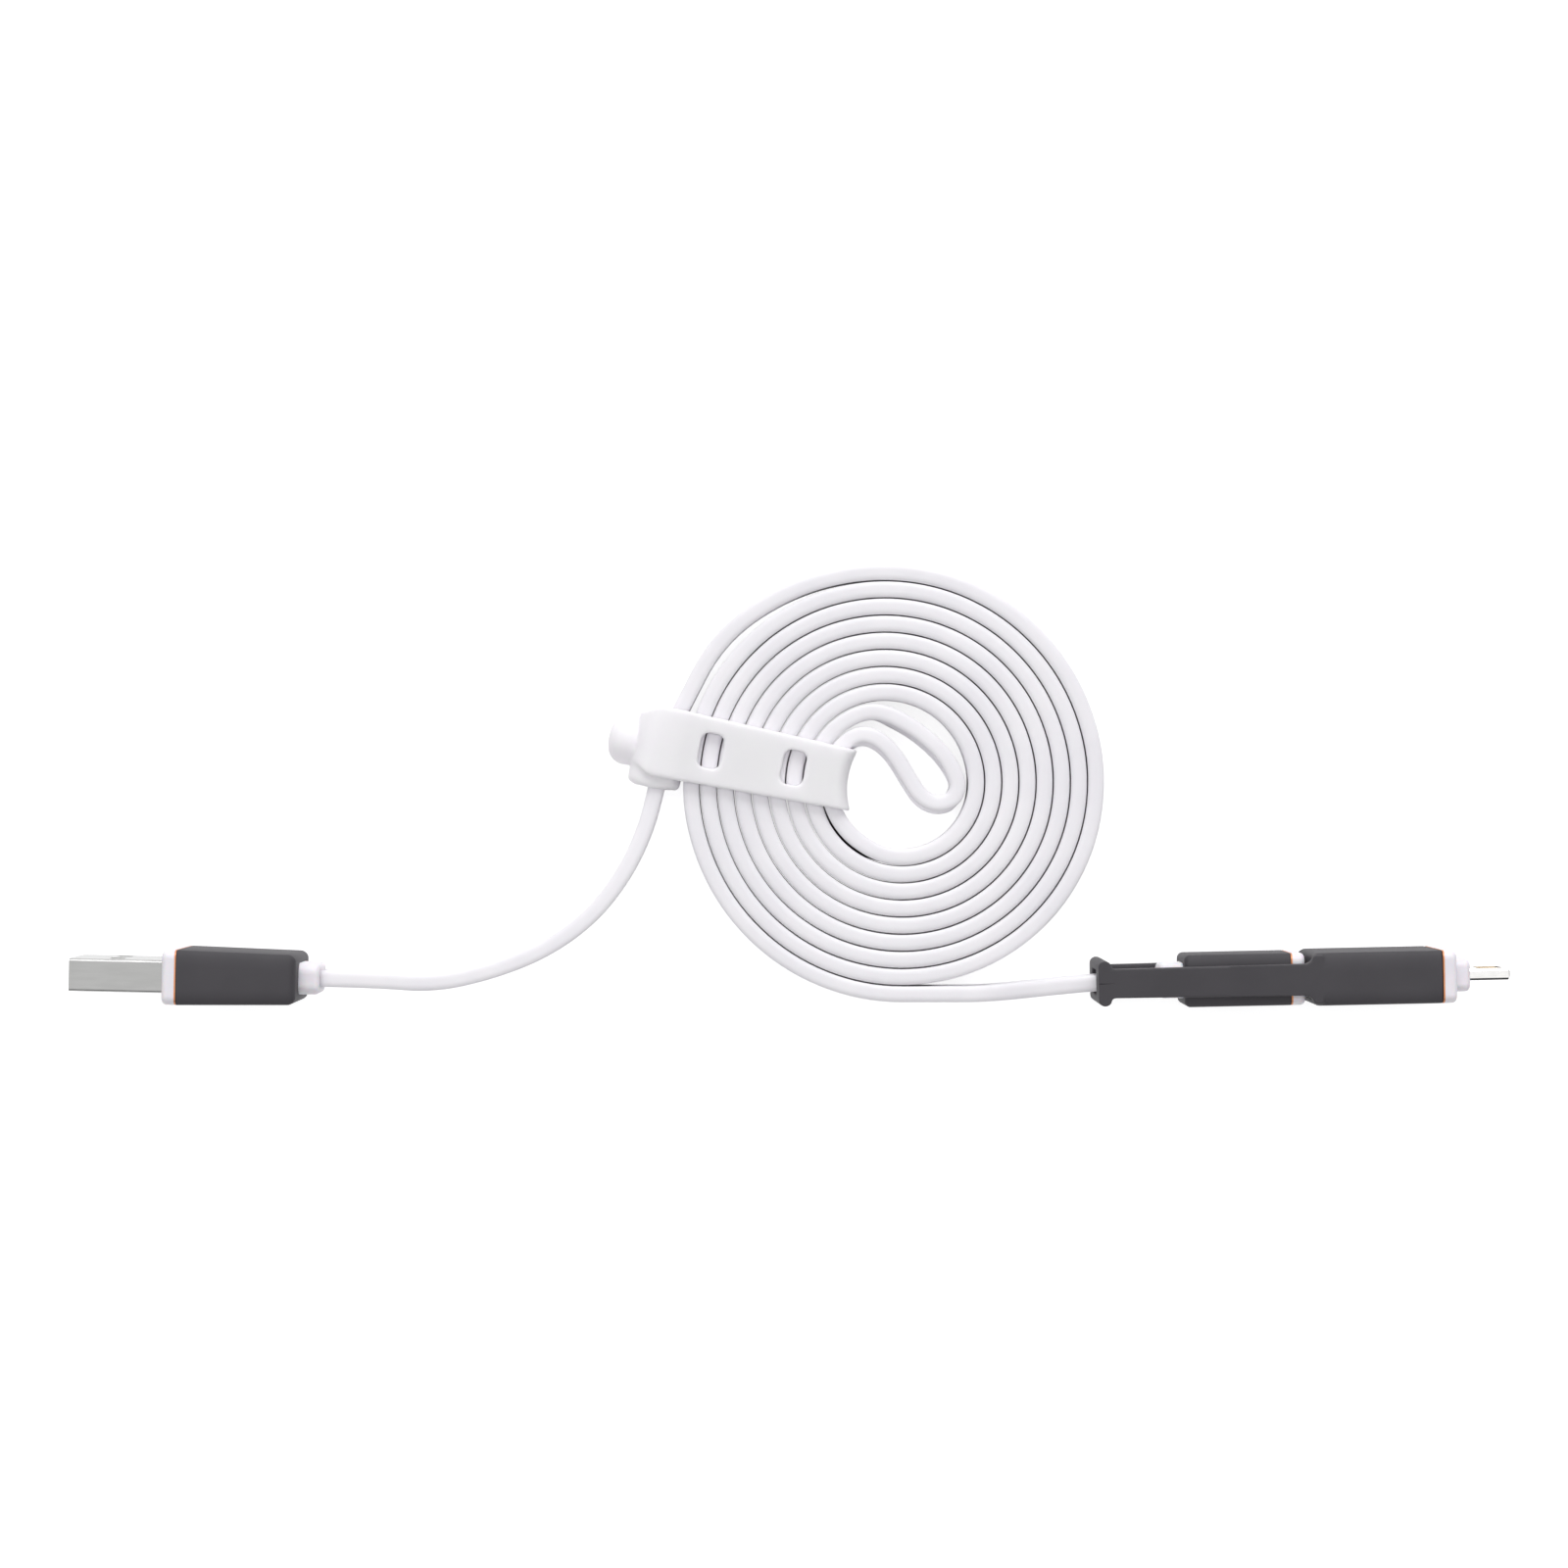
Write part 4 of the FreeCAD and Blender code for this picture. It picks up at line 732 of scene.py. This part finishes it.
def ring_mesh(name, rings):
    """A closed skin over rings of equally many points, with flat ends."""
    count = len(rings[0])
    vertices = [point for ring in rings for point in ring]
    faces = []
    for first in range(0, (len(rings) - 1) * count, count):
        for i in range(count):
            j = (i + 1) % count
            faces.append((first + i, first + j, first + count + j, first + count + i))
    faces.append(tuple(reversed(range(count))))
    faces.append(tuple(range(len(vertices) - count, len(vertices))))
    mesh_data = bpy.data.meshes.new(name)
    mesh_data.from_pydata(vertices, [], faces)
    skin = bmesh.new()
    skin.from_mesh(mesh_data)
    bmesh.ops.recalc_face_normals(skin, faces=skin.faces)
    skin.to_mesh(mesh_data)
    skin.free()
    return mesh_data


# %% Sweep the flat section along the centre line
CORD_WIDTH, CORD_THICKNESS = 5.5, 2.22
CORD_CROWN = (0.85, 0.42)
LOOP_LEAN, LOOP_EDGE, LOOP_BLEND = 6.0, 10.1, 1.2


def loop_lean(point, heading):
    """How far the cord leans where it turns back, in radians. Its top leans to the far side."""
    inside = LOOP_EDGE - (point.xy / MM - FIRST_CENTRE).length
    return math.radians(LOOP_LEAN) * eased(inside / LOOP_BLEND) * -heading.x


def cord_mesh(line):
    """The flat cord along a line, standing on its edge."""
    section = [p * MM for p in rounded_outline(CORD_THICKNESS, CORD_WIDTH, CORD_CROWN)]
    rings = []
    for index, point in enumerate(line):
        before, after = line[max(index - 1, 0)], line[min(index + 1, len(line) - 1)]
        heading = (after - before).normalized()
        side = Vector((-heading.y, heading.x, 0)).normalized()
        upright = heading.cross(side)
        upright = upright if upright.z > 0 else -upright
        lean = Matrix.Rotation(loop_lean(point, heading), 3, heading)
        rings.append([point + lean @ (side * p.x + upright * p.y) for p in section])
    return ring_mesh("cord", rings)


cord = new_piece(
    "cord",
    cord_mesh(centre_line),
    Matrix.Identity(4),
    JACKET,
    "cable",
    ("cord_coil", "cord_lead_usb", "cord_lead_phone"),
)

# %% [markdown]
# ## Soft skins
#
# Silicone and rubber come out of their moulds with no sharp edge anywhere, and the thick and thin
# places flow into each other. Filleting every edge by hand would be long work. Here each piece is
# roughed out as a few overlapping closed solids instead. A voxel remesh draws one skin round all
# of them, a boolean cuts the holes, a second remesh takes the cut edges in, and a few rounds of
# smoothing wear every edge down by a fraction of a millimetre. SHARPEST is the least corner radius
# that a rounded end may leave, and PAST is how far a bore or a hollow runs on beyond its mouth.

# %% Rough solids
SHARPEST = 0.05
PAST = 1.0


def prism(outline, low, high):
    """A closed straight piece over an outline in plan."""
    return ring_mesh("prism", [[Vector((p.x, p.y, level)) for p in outline] for level in (low, high)])


def box_outline(left, right, near, far, corner):
    """A rounded rectangle in plan, by its four sides."""
    middle = Vector(((left + right) / 2, (near + far) / 2))
    return [middle + p for p in rounded_outline(right - left, far - near, corner)]


def bar(start, end, across, up, corner, start_round=0.0, end_round=0.0, across_end=None):
    """A bar along X with rounded long edges, rounded ends and, if told, another end thickness."""
    stops = []
    for where, radius, inwards in ((start, start_round, 1), (end, end_round, -1)):
        angles = [90 * i / EDGE_STEPS for i in range(EDGE_STEPS + 1)] if radius else [0]
        turned = angles[::-1] if inwards > 0 else angles
        for angle in (math.radians(a) for a in turned):
            inset = radius * (1 - math.cos(angle))
            stops.append((where + inwards * radius * (1 - math.sin(angle)), inset))
    wide, tall = two_radii(corner)
    rings = []
    for where, inset in stops:
        share = (where - start) / (end - start)
        thick = across + ((across_end or across) - across) * share
        remaining = (max(wide - inset, SHARPEST), max(tall - inset, SHARPEST))
        outline = rounded_outline(thick - 2 * inset, up - 2 * inset, remaining)
        rings.append([Vector((where, p.x, p.y)) for p in outline])
    return ring_mesh("bar", rings)


# %% The skin round them
def combined(parts):
    """Several meshes as one."""
    whole = bmesh.new()
    for part in parts:
        whole.from_mesh(part)
    data = bpy.data.meshes.new("combined")
    whole.to_mesh(data)
    whole.free()
    return data


def with_modifiers(data, *steps):
    """A mesh after a chain of modifiers, each a kind and its settings."""
    body = bpy.data.objects.new("work", data)
    bpy.context.scene.collection.objects.link(body)
    for kind, settings in steps:
        modifier = body.modifiers.new(kind.lower(), kind)
        for key, value in settings.items():
            setattr(modifier, key, value)
    depsgraph = bpy.context.evaluated_depsgraph_get()
    result = bpy.data.meshes.new_from_object(body.evaluated_get(depsgraph))
    bpy.data.objects.remove(body)
    return result


def cut_from(data, cuts):
    """A closed mesh less some closed cuts that don't touch each other."""
    cutter = bpy.data.objects.new("cutter", combined(cuts))
    bpy.context.scene.collection.objects.link(cutter)
    result = with_modifiers(
        data, ("BOOLEAN", {"object": cutter, "operation": "DIFFERENCE", "solver": "MANIFOLD"})
    )
    bpy.data.objects.remove(cutter)
    return result


def soft_skin(solids, cuts, voxel, rounds):
    """One skin round overlapping solids, less the cuts, with every edge worn soft."""
    remesh = ("REMESH", {"mode": "VOXEL", "voxel_size": voxel})
    rough = with_modifiers(combined(solids), remesh)
    smooth = ("SMOOTH", {"factor": 0.5, "iterations": rounds})
    return with_modifiers(cut_from(rough, cuts), remesh, smooth)


# %% [markdown]
# ## The cable tie's band
#
# The tie is one moulding. A ring stays on the cord for good. Its band goes under the coil, folds
# up through the hole in the middle and comes back over the coil and the ring, and its end is
# buttoned on the ring's side. The band is drawn as a path seen from the side, with a flat section
# laid along it, and its far fold curves in plan like the innermost turn that it presses against.

# %% The band's path, seen from the side
BAND_THICK = 0.9
FOLD_AT, FOLD_BEND, RING_BEND = 23.3, 1.5, 2.7
LOW_LEVEL, TOP_LEVEL, OVER_RING = 0.45, 7.45, 8.1
BAND_START, BAND_LEFT, TAIL_END = -2.3, -6.1, 0.85
CLIMB = (4.0, -2.5)
PATH_SPACING, CLIMB_SPACING = 1.0, 0.5


def bend(centre, radius, start, end, steps=10):
    """Points round part of a circle."""
    for step in range(steps + 1):
        angle = math.radians(start + (end - start) * step / steps)
        yield Vector((centre[0] + radius * math.cos(angle), centre[1] + radius * math.sin(angle)))


def straight(start, end, spacing=PATH_SPACING):
    """Points along a straight stretch, ends left out."""
    start, end = Vector(start), Vector(end)
    count = max(2, round((end - start).length / spacing))
    for index in range(1, count):
        yield start.lerp(end, index / count)


def band_path():
    """The middle of the band from under the ring to its tail, as (along, up)."""
    wall = FOLD_AT - BAND_THICK / 2
    turn_in = wall - FOLD_BEND
    over = BAND_LEFT + RING_BEND
    points = [Vector((BAND_START, LOW_LEVEL))]
    points += straight((BAND_START, LOW_LEVEL), (turn_in, LOW_LEVEL))
    points += bend((turn_in, LOW_LEVEL + FOLD_BEND), FOLD_BEND, -90, 0)
    points += straight((wall, LOW_LEVEL + FOLD_BEND), (wall, TOP_LEVEL - FOLD_BEND))
    points += bend((turn_in, TOP_LEVEL - FOLD_BEND), FOLD_BEND, 0, 90)
    for point in straight((turn_in, TOP_LEVEL), (over, TOP_LEVEL), CLIMB_SPACING):
        climbed = eased((point.x - CLIMB[0]) / (CLIMB[1] - CLIMB[0]))
        points.append(Vector((point.x, TOP_LEVEL + (OVER_RING - TOP_LEVEL) * climbed)))
    points += bend((over, OVER_RING - RING_BEND), RING_BEND, 90, 180)
    points += straight((BAND_LEFT, OVER_RING - RING_BEND), (BAND_LEFT, TAIL_END))
    points.append(Vector((BAND_LEFT, TAIL_END)))
    return points


print(len(band_path()), "stops along the band")

# %% The flat section laid along it
BAND_EDGE = 0.42
WIDTH_AT_RING, WIDTH_AT_FOLD, TAIL_TAPER = 9.7, 8.5, 1.2
FOLD_RADIUS, FOLD_OFFSET, CURVE_STARTS = 9.8, 0.7, 11.0
LONG_SIDE, PIECES = 2.0, 20


def divided(outline, long_side, pieces):
    """A closed outline with more points on its long sides, so that they can be bent."""
    points = []
    for here, there in zip(outline, outline[1:] + outline[:1]):
        count = pieces if (there - here).length > long_side else 1
        points += [here.lerp(there, index / count) for index in range(count)]
    return points


def band_mesh():
    """The flat band along its path: wide at the ring, narrower at the fold, curved there."""
    path = band_path()
    rings = []
    for index, point in enumerate(path):
        before, after = path[max(index - 1, 0)], path[min(index + 1, len(path) - 1)]
        heading = (after - before).normalized()
        normal = Vector((-heading.y, heading.x))
        along = min(max(point.x / FOLD_AT, 0), 1)
        width = WIDTH_AT_RING + (WIDTH_AT_FOLD - WIDTH_AT_RING) * along
        if index > len(path) / 2:
            width -= 2 * TAIL_TAPER * eased((BAND_LEFT + RING_BEND - point.x) / RING_BEND)
        near_fold = min(max((point.x - CURVE_STARTS) / (FOLD_AT - CURVE_STARTS), 0), 1)
        ring = []
        for p in divided(rounded_outline(BAND_THICK, width, BAND_EDGE), LONG_SIDE, PIECES):
            place_across = Vector((point.x, point.y)) + normal * p.x
            chord = FOLD_RADIUS**2 - (p.y - FOLD_OFFSET) ** 2
            curve = (FOLD_RADIUS - math.sqrt(chord)) * near_fold**2
            ring.append(Vector((place_across.x + curve, p.y, place_across.y)))
        rings.append(ring)
    return ring_mesh("band", rings)


# %% [markdown]
# ## The tie's ring, button and buttonholes
#
# The ring is a short upright tube with a round near end, and the button is turned like a knob.
# Two buttonholes are open, cut with straight prisms. The last one is round the button's neck and
# can't be seen, so there the band and the button are simply one skin.

# %% Ring and button
RING_LEFT, RING_RIGHT, RING_TOP, RING_CORNER = -6.5, 0.7, 7.65, 2.4
RING_NEAR, RING_FAR, RING_ROUND = -6.6, 2.6, (2.2, 0.4, 1.0)
BORE_LEFT, BORE_RIGHT, BORE_TOP, BORE_CORNER = -5.0, -0.1, 7.05, 1.6
BUTTON_ACROSS, BUTTON_UP, BUTTON_STEPS = -0.7, 3.8, 40
BUTTON_PROFILE = [
    (-5.3, 1.3),
    (-6.1, 1.3),
    (-6.2, 2.95),
    (-6.5, 3.3),
    (-7.2, 3.45),
    (-8.2, 3.42),
    (-9.1, 3.05),
    (-9.8, 2.3),
    (-10.15, 1.3),
    (-10.25, 0.4),
]


def upright_tube(left, right, low, high, corner, near, far, near_round=None):
    """A rounded bar along Y by its sides, and how far its near end rounds sideways, up and along."""
    stops = [(near, 0.0), (far, 0.0)]
    sideways, upwards, length = near_round or (0.0, 0.0, 0.0)
    if near_round:
        angles = [math.radians(90 * i / EDGE_STEPS) for i in range(EDGE_STEPS + 1)]
        stops = [(near + length * (1 - math.cos(a)), 1 - math.sin(a)) for a in angles]
        stops.append((far, 0.0))
    rings = []
    for across, inset in stops:
        side, lift = sideways * inset, upwards * inset
        outline = box_outline(left + side, right - side, low + lift, high - lift, corner - lift)
        rings.append([Vector((p.x, across, p.y)) for p in outline])
    return ring_mesh("bar", rings)


def turned_button():
    """The button: its profile of (along, radius) turned about an axis along X."""
    rings = []
    for along, radius in BUTTON_PROFILE:
        ring = []
        for step in range(BUTTON_STEPS):
            angle = 2 * math.pi * step / BUTTON_STEPS
            across = BUTTON_ACROSS + radius * math.cos(angle)
            ring.append(Vector((along, across, BUTTON_UP + radius * math.sin(angle))))
        rings.append(ring)
    return ring_mesh("button", rings)


# %% Buttonholes, and one skin round it all
SLOT_ALONG, SLOT_ACROSS, SLOT_CORNER, SLOT_OFFSET = 3.2, 4.8, 1.1, 0.1
SLOTS_AT = (4.05, 15.65)


def buttonhole(middle):
    """The cut for one buttonhole, through the upper run of the band."""
    sides = (middle - SLOT_ALONG / 2, middle + SLOT_ALONG / 2)
    ends = (SLOT_OFFSET - SLOT_ACROSS / 2, SLOT_OFFSET + SLOT_ACROSS / 2)
    outline = box_outline(*sides, *ends, SLOT_CORNER)
    return prism(outline, TOP_LEVEL - BAND_THICK, TOP_LEVEL + BAND_THICK)


def tie_mesh():
    """The whole tie as one soft skin."""
    ring = upright_tube(
        RING_LEFT, RING_RIGHT, 0.0, RING_TOP, RING_CORNER, RING_NEAR, RING_FAR, RING_ROUND
    )
    bore_ends = (RING_NEAR - PAST, RING_FAR + PAST)
    bore = upright_tube(BORE_LEFT, BORE_RIGHT, BAND_THICK, BORE_TOP, BORE_CORNER, *bore_ends)
    cuts = [bore] + [buttonhole(middle) for middle in SLOTS_AT]
    return soft_skin([band_mesh(), ring, turned_button()], cuts, voxel=0.15, rounds=14)


new_piece(
    "silicone_tie", tie_mesh(), TIE_PLACE, SILICONE, "cable", ("cable_tie",)
)

# %% [markdown]
# ## The adapter's rubber
#
# The adapter's dark sleeve and its tether are one moulding too. Two arms run back along the phone
# plug's narrow edges to a keeper, a round-cornered bar whose slot holds the flat cord. Where an
# arm meets the sleeve it widens in a hollow curve, and a faint mould line runs over the keeper
# and just on to each arm.

# %% Sleeve, arms and keeper
SLEEVE_FROM, SLEEVE_TO, SLEEVE_THICK, SLEEVE_UP = 20.5, 38.0, 7.2, 16.0
SLEEVE_CORNER, SLEEVE_BACK_ROUND, FRONT_ROUND = (2.2, 0.9), 0.7, 0.12
ARM_WIDE, ARM_NARROW, ARM_LOW, ARM_HIGH = 2.15, 1.975, 6.1, 8.0
HOLLOW, HOLLOW_STEPS = 1.2, 6
KEEPER_FROM, KEEPER_TO, KEEPER_ACROSS, KEEPER_CORNER = -8.7, -7.0, 3.05, 0.8
KEEPER_BLEND, KEEPER_OVERLAP = 0.5, 0.1


def arm_outline():
    """An arm in plan, with hollow curves at the sleeve and at the keeper."""
    at_keeper = (KEEPER_TO + KEEPER_BLEND, ARM_NARROW + KEEPER_BLEND)
    at_sleeve = (SLEEVE_FROM - HOLLOW, ARM_WIDE + HOLLOW)
    upper = [Vector((KEEPER_TO - KEEPER_BLEND, ARM_NARROW + KEEPER_BLEND))]
    upper += bend(at_keeper, KEEPER_BLEND, 180, 270, HOLLOW_STEPS)
    upper += bend(at_sleeve, HOLLOW, 270, 360, HOLLOW_STEPS)
    upper.append(Vector((SLEEVE_FROM + HOLLOW, ARM_WIDE + HOLLOW)))
    return upper + [Vector((p.x, -p.y)) for p in reversed(upper)]


def adapter_solids():
    """The rough solids: sleeve, keeper and two arms, which overlap."""
    sleeve = bar(
        SLEEVE_FROM,
        SLEEVE_TO,
        SLEEVE_THICK,
        SLEEVE_UP,
        SLEEVE_CORNER,
        start_round=SLEEVE_BACK_ROUND,
        end_round=FRONT_ROUND,
    )
    keeper_end = KEEPER_TO + KEEPER_OVERLAP
    keeper_plan = box_outline(
        KEEPER_FROM, keeper_end, -KEEPER_ACROSS, KEEPER_ACROSS, KEEPER_CORNER
    )
    keeper = prism(keeper_plan, -ARM_HIGH, ARM_HIGH)
    arms = [prism(arm_outline(), low, low + ARM_HIGH - ARM_LOW) for low in (ARM_LOW, -ARM_HIGH)]
    return [sleeve, keeper, *arms]


# %% [markdown]
# ## The adapter's hollows
#
# The sleeve has a cavity for the works and, at its back, a mouth for the micro plug. The two cuts
# stop 0.1 mm apart, because the boolean wants cuts that don't touch. The mould line is finer than
# a voxel, so it is cut last, into the finished skin.

# %% Mouth, cavity, cord slot and mould line
WALL, CUT_CORNER = 0.8, 0.4
CAVITY_BACK, MOUTH_DEEP, MOUTH_THIN, MOUTH_WIDE = 1.6, 1.5, 2.6, 7.6
SLOT_THIN, SLOT_WIDE = 3.3, 7.0
LINE_FROM, LINE_TO, LINE_HALF_WIDE, LINE_DEEP = -9.0, -6.6, 0.07, 0.1


def adapter_mesh():
    """Sleeve, arms and keeper as one soft skin, with socket mouth, cavity and cord slot."""
    cavity = (SLEEVE_FROM + CAVITY_BACK, SLEEVE_TO + PAST)
    mouth = (SLEEVE_FROM - PAST, SLEEVE_FROM + MOUTH_DEEP)
    slot = (KEEPER_FROM - PAST, KEEPER_TO + PAST)
    cuts = [
        bar(*cavity, SLEEVE_THICK - 2 * WALL, SLEEVE_UP - 2 * WALL, CUT_CORNER),
        bar(*mouth, MOUTH_THIN, MOUTH_WIDE, CUT_CORNER),
        bar(*slot, SLOT_THIN, SLOT_WIDE, CUT_CORNER),
    ]
    skin = soft_skin(adapter_solids(), cuts, voxel=0.16, rounds=4)
    corners = ((LINE_FROM, -LINE_HALF_WIDE), (LINE_TO, 0), (LINE_FROM, LINE_HALF_WIDE))
    groove = [Vector(corner) for corner in corners]
    lines = [
        prism(groove, ARM_HIGH - LINE_DEEP, ARM_HIGH + PAST),
        prism(groove, -ARM_HIGH - PAST, LINE_DEEP - ARM_HIGH),
    ]
    return cut_from(skin, lines)


new_piece(
    "adapter_rubber",
    adapter_mesh(),
    PHONE_PLACE,
    RUBBER,
    "adapter",
    ("adapter_sleeve",),
)

# %% [markdown]
# ## The two plugs' sleeves
#
# A plug's sleeve is a plain rubber tube with soft edges, and the USB-A plug's is thinner towards
# the cord. Rounded rings swept along the axis describe it fully, and a boolean hollows it from
# the front, so no voxels are needed and its sides stay perfectly flat.

# %% Sleeves, hollow from the front
HOLLOW_CORNER = 0.3


def sleeve_mesh(start, end, rear, front, up, rear_round):
    """A hollow rubber sleeve along a plug."""
    skin = bar(start, end, rear, up, SLEEVE_CORNER, rear_round, FRONT_ROUND, across_end=front)
    hollow = bar(start + WALL, end + PAST, rear - 2 * WALL, up - 2 * WALL, HOLLOW_CORNER)
    return cut_from(skin, [hollow])


new_piece(
    "usb_rubber",
    sleeve_mesh(start=2.8, end=19.0, rear=6.8, front=7.5, up=16.0, rear_round=1.1),
    USB_PLACE,
    RUBBER,
    "cable",
    ("usb_a_sleeve",),
)
new_piece(
    "phone_rubber",
    sleeve_mesh(start=3.2, end=17.7, rear=7.1, front=7.1, up=11.6, rear_round=0.8),
    PHONE_PLACE,
    RUBBER,
    "cable",
    ("phone_plug_sleeve",),
)

# %% [markdown]
# ## The slim tip
#
# The slim tip is a flat metal bar standing on edge, so a viewer above sees only its narrow edge.
# On the real one that edge is a flat between two polished bevels: the flat mirrors the white tent,
# and the bevels can mirror the darker room below its hem. Smooth shading would blur flat and
# bevels into one curve, so this piece alone is shaded flat. A shallow window in each wide face
# leaves room for the contacts.

# %% A polished bar with bevels and windows
TIP_FROM, TIP_TO, TIP_THICK, TIP_UP = 37.6, 47.9, 1.6, 6.7
TIP_BEVEL, TIP_DROP, TIP_SOFT, TIP_ROUND = 0.32, 0.24, 0.06, 0.3
WINDOW_FROM, WINDOW_TO, WINDOW_TALL, WINDOW_FLOOR = 43.7, 47.1, 5.3, 0.45


def bevelled_outline(across, up):
    """A flat bar's section: each narrow edge is a flat between two polished bevels."""
    points = []
    steep = math.atan2(TIP_DROP, TIP_BEVEL)
    cut = TIP_SOFT * math.tan(steep / 2)
    other = TIP_SOFT * math.tan((math.pi / 2 - steep) / 2)
    down = Vector((math.cos(steep), -math.sin(steep)))
    flat_end = Vector((across / 2 - TIP_BEVEL, up / 2))
    side_start = Vector((across / 2, up / 2 - TIP_DROP))
    corner = [flat_end - Vector((cut, 0)), flat_end + cut * down]
    corner += [side_start - other * down, side_start - Vector((0, other))]
    for side, lift in ((1, 1), (1, -1), (-1, -1), (-1, 1)):
        bent = [Vector((side * p.x, lift * p.y)) for p in corner]
        points += bent if side * lift > 0 else bent[::-1]
    return points


def tip_mesh():
    """The polished bar with a rounded end and a shallow window in each wide face."""
    stops = [(TIP_FROM, 0.0)]
    for step in range(EDGE_STEPS + 1):
        angle = math.radians(90 * step / EDGE_STEPS)
        along = TIP_TO - TIP_ROUND * (1 - math.sin(angle))
        stops.append((along, TIP_ROUND * (1 - math.cos(angle))))
    rings = []
    for where, inset in stops:
        outline = bevelled_outline(TIP_THICK - 2 * inset, TIP_UP - 2 * inset)
        rings.append([Vector((where, p.x, p.y)) for p in outline])
    windows = []
    for near, far in ((WINDOW_FLOOR, TIP_THICK), (-TIP_THICK, -WINDOW_FLOOR)):
        outline = box_outline(WINDOW_FROM, WINDOW_TO, near, far, SHARPEST)
        windows.append(prism(outline, -WINDOW_TALL / 2, WINDOW_TALL / 2))
    return cut_from(ring_mesh("tip", rings), windows)


tip = new_piece(
    "slim_tip",
    tip_mesh(),
    PHONE_PLACE,
    FINISHES["polished_tip"],
    "adapter",
    ("phone_tip",),
)
for polygon in tip.data.polygons:
    polygon.use_smooth = False
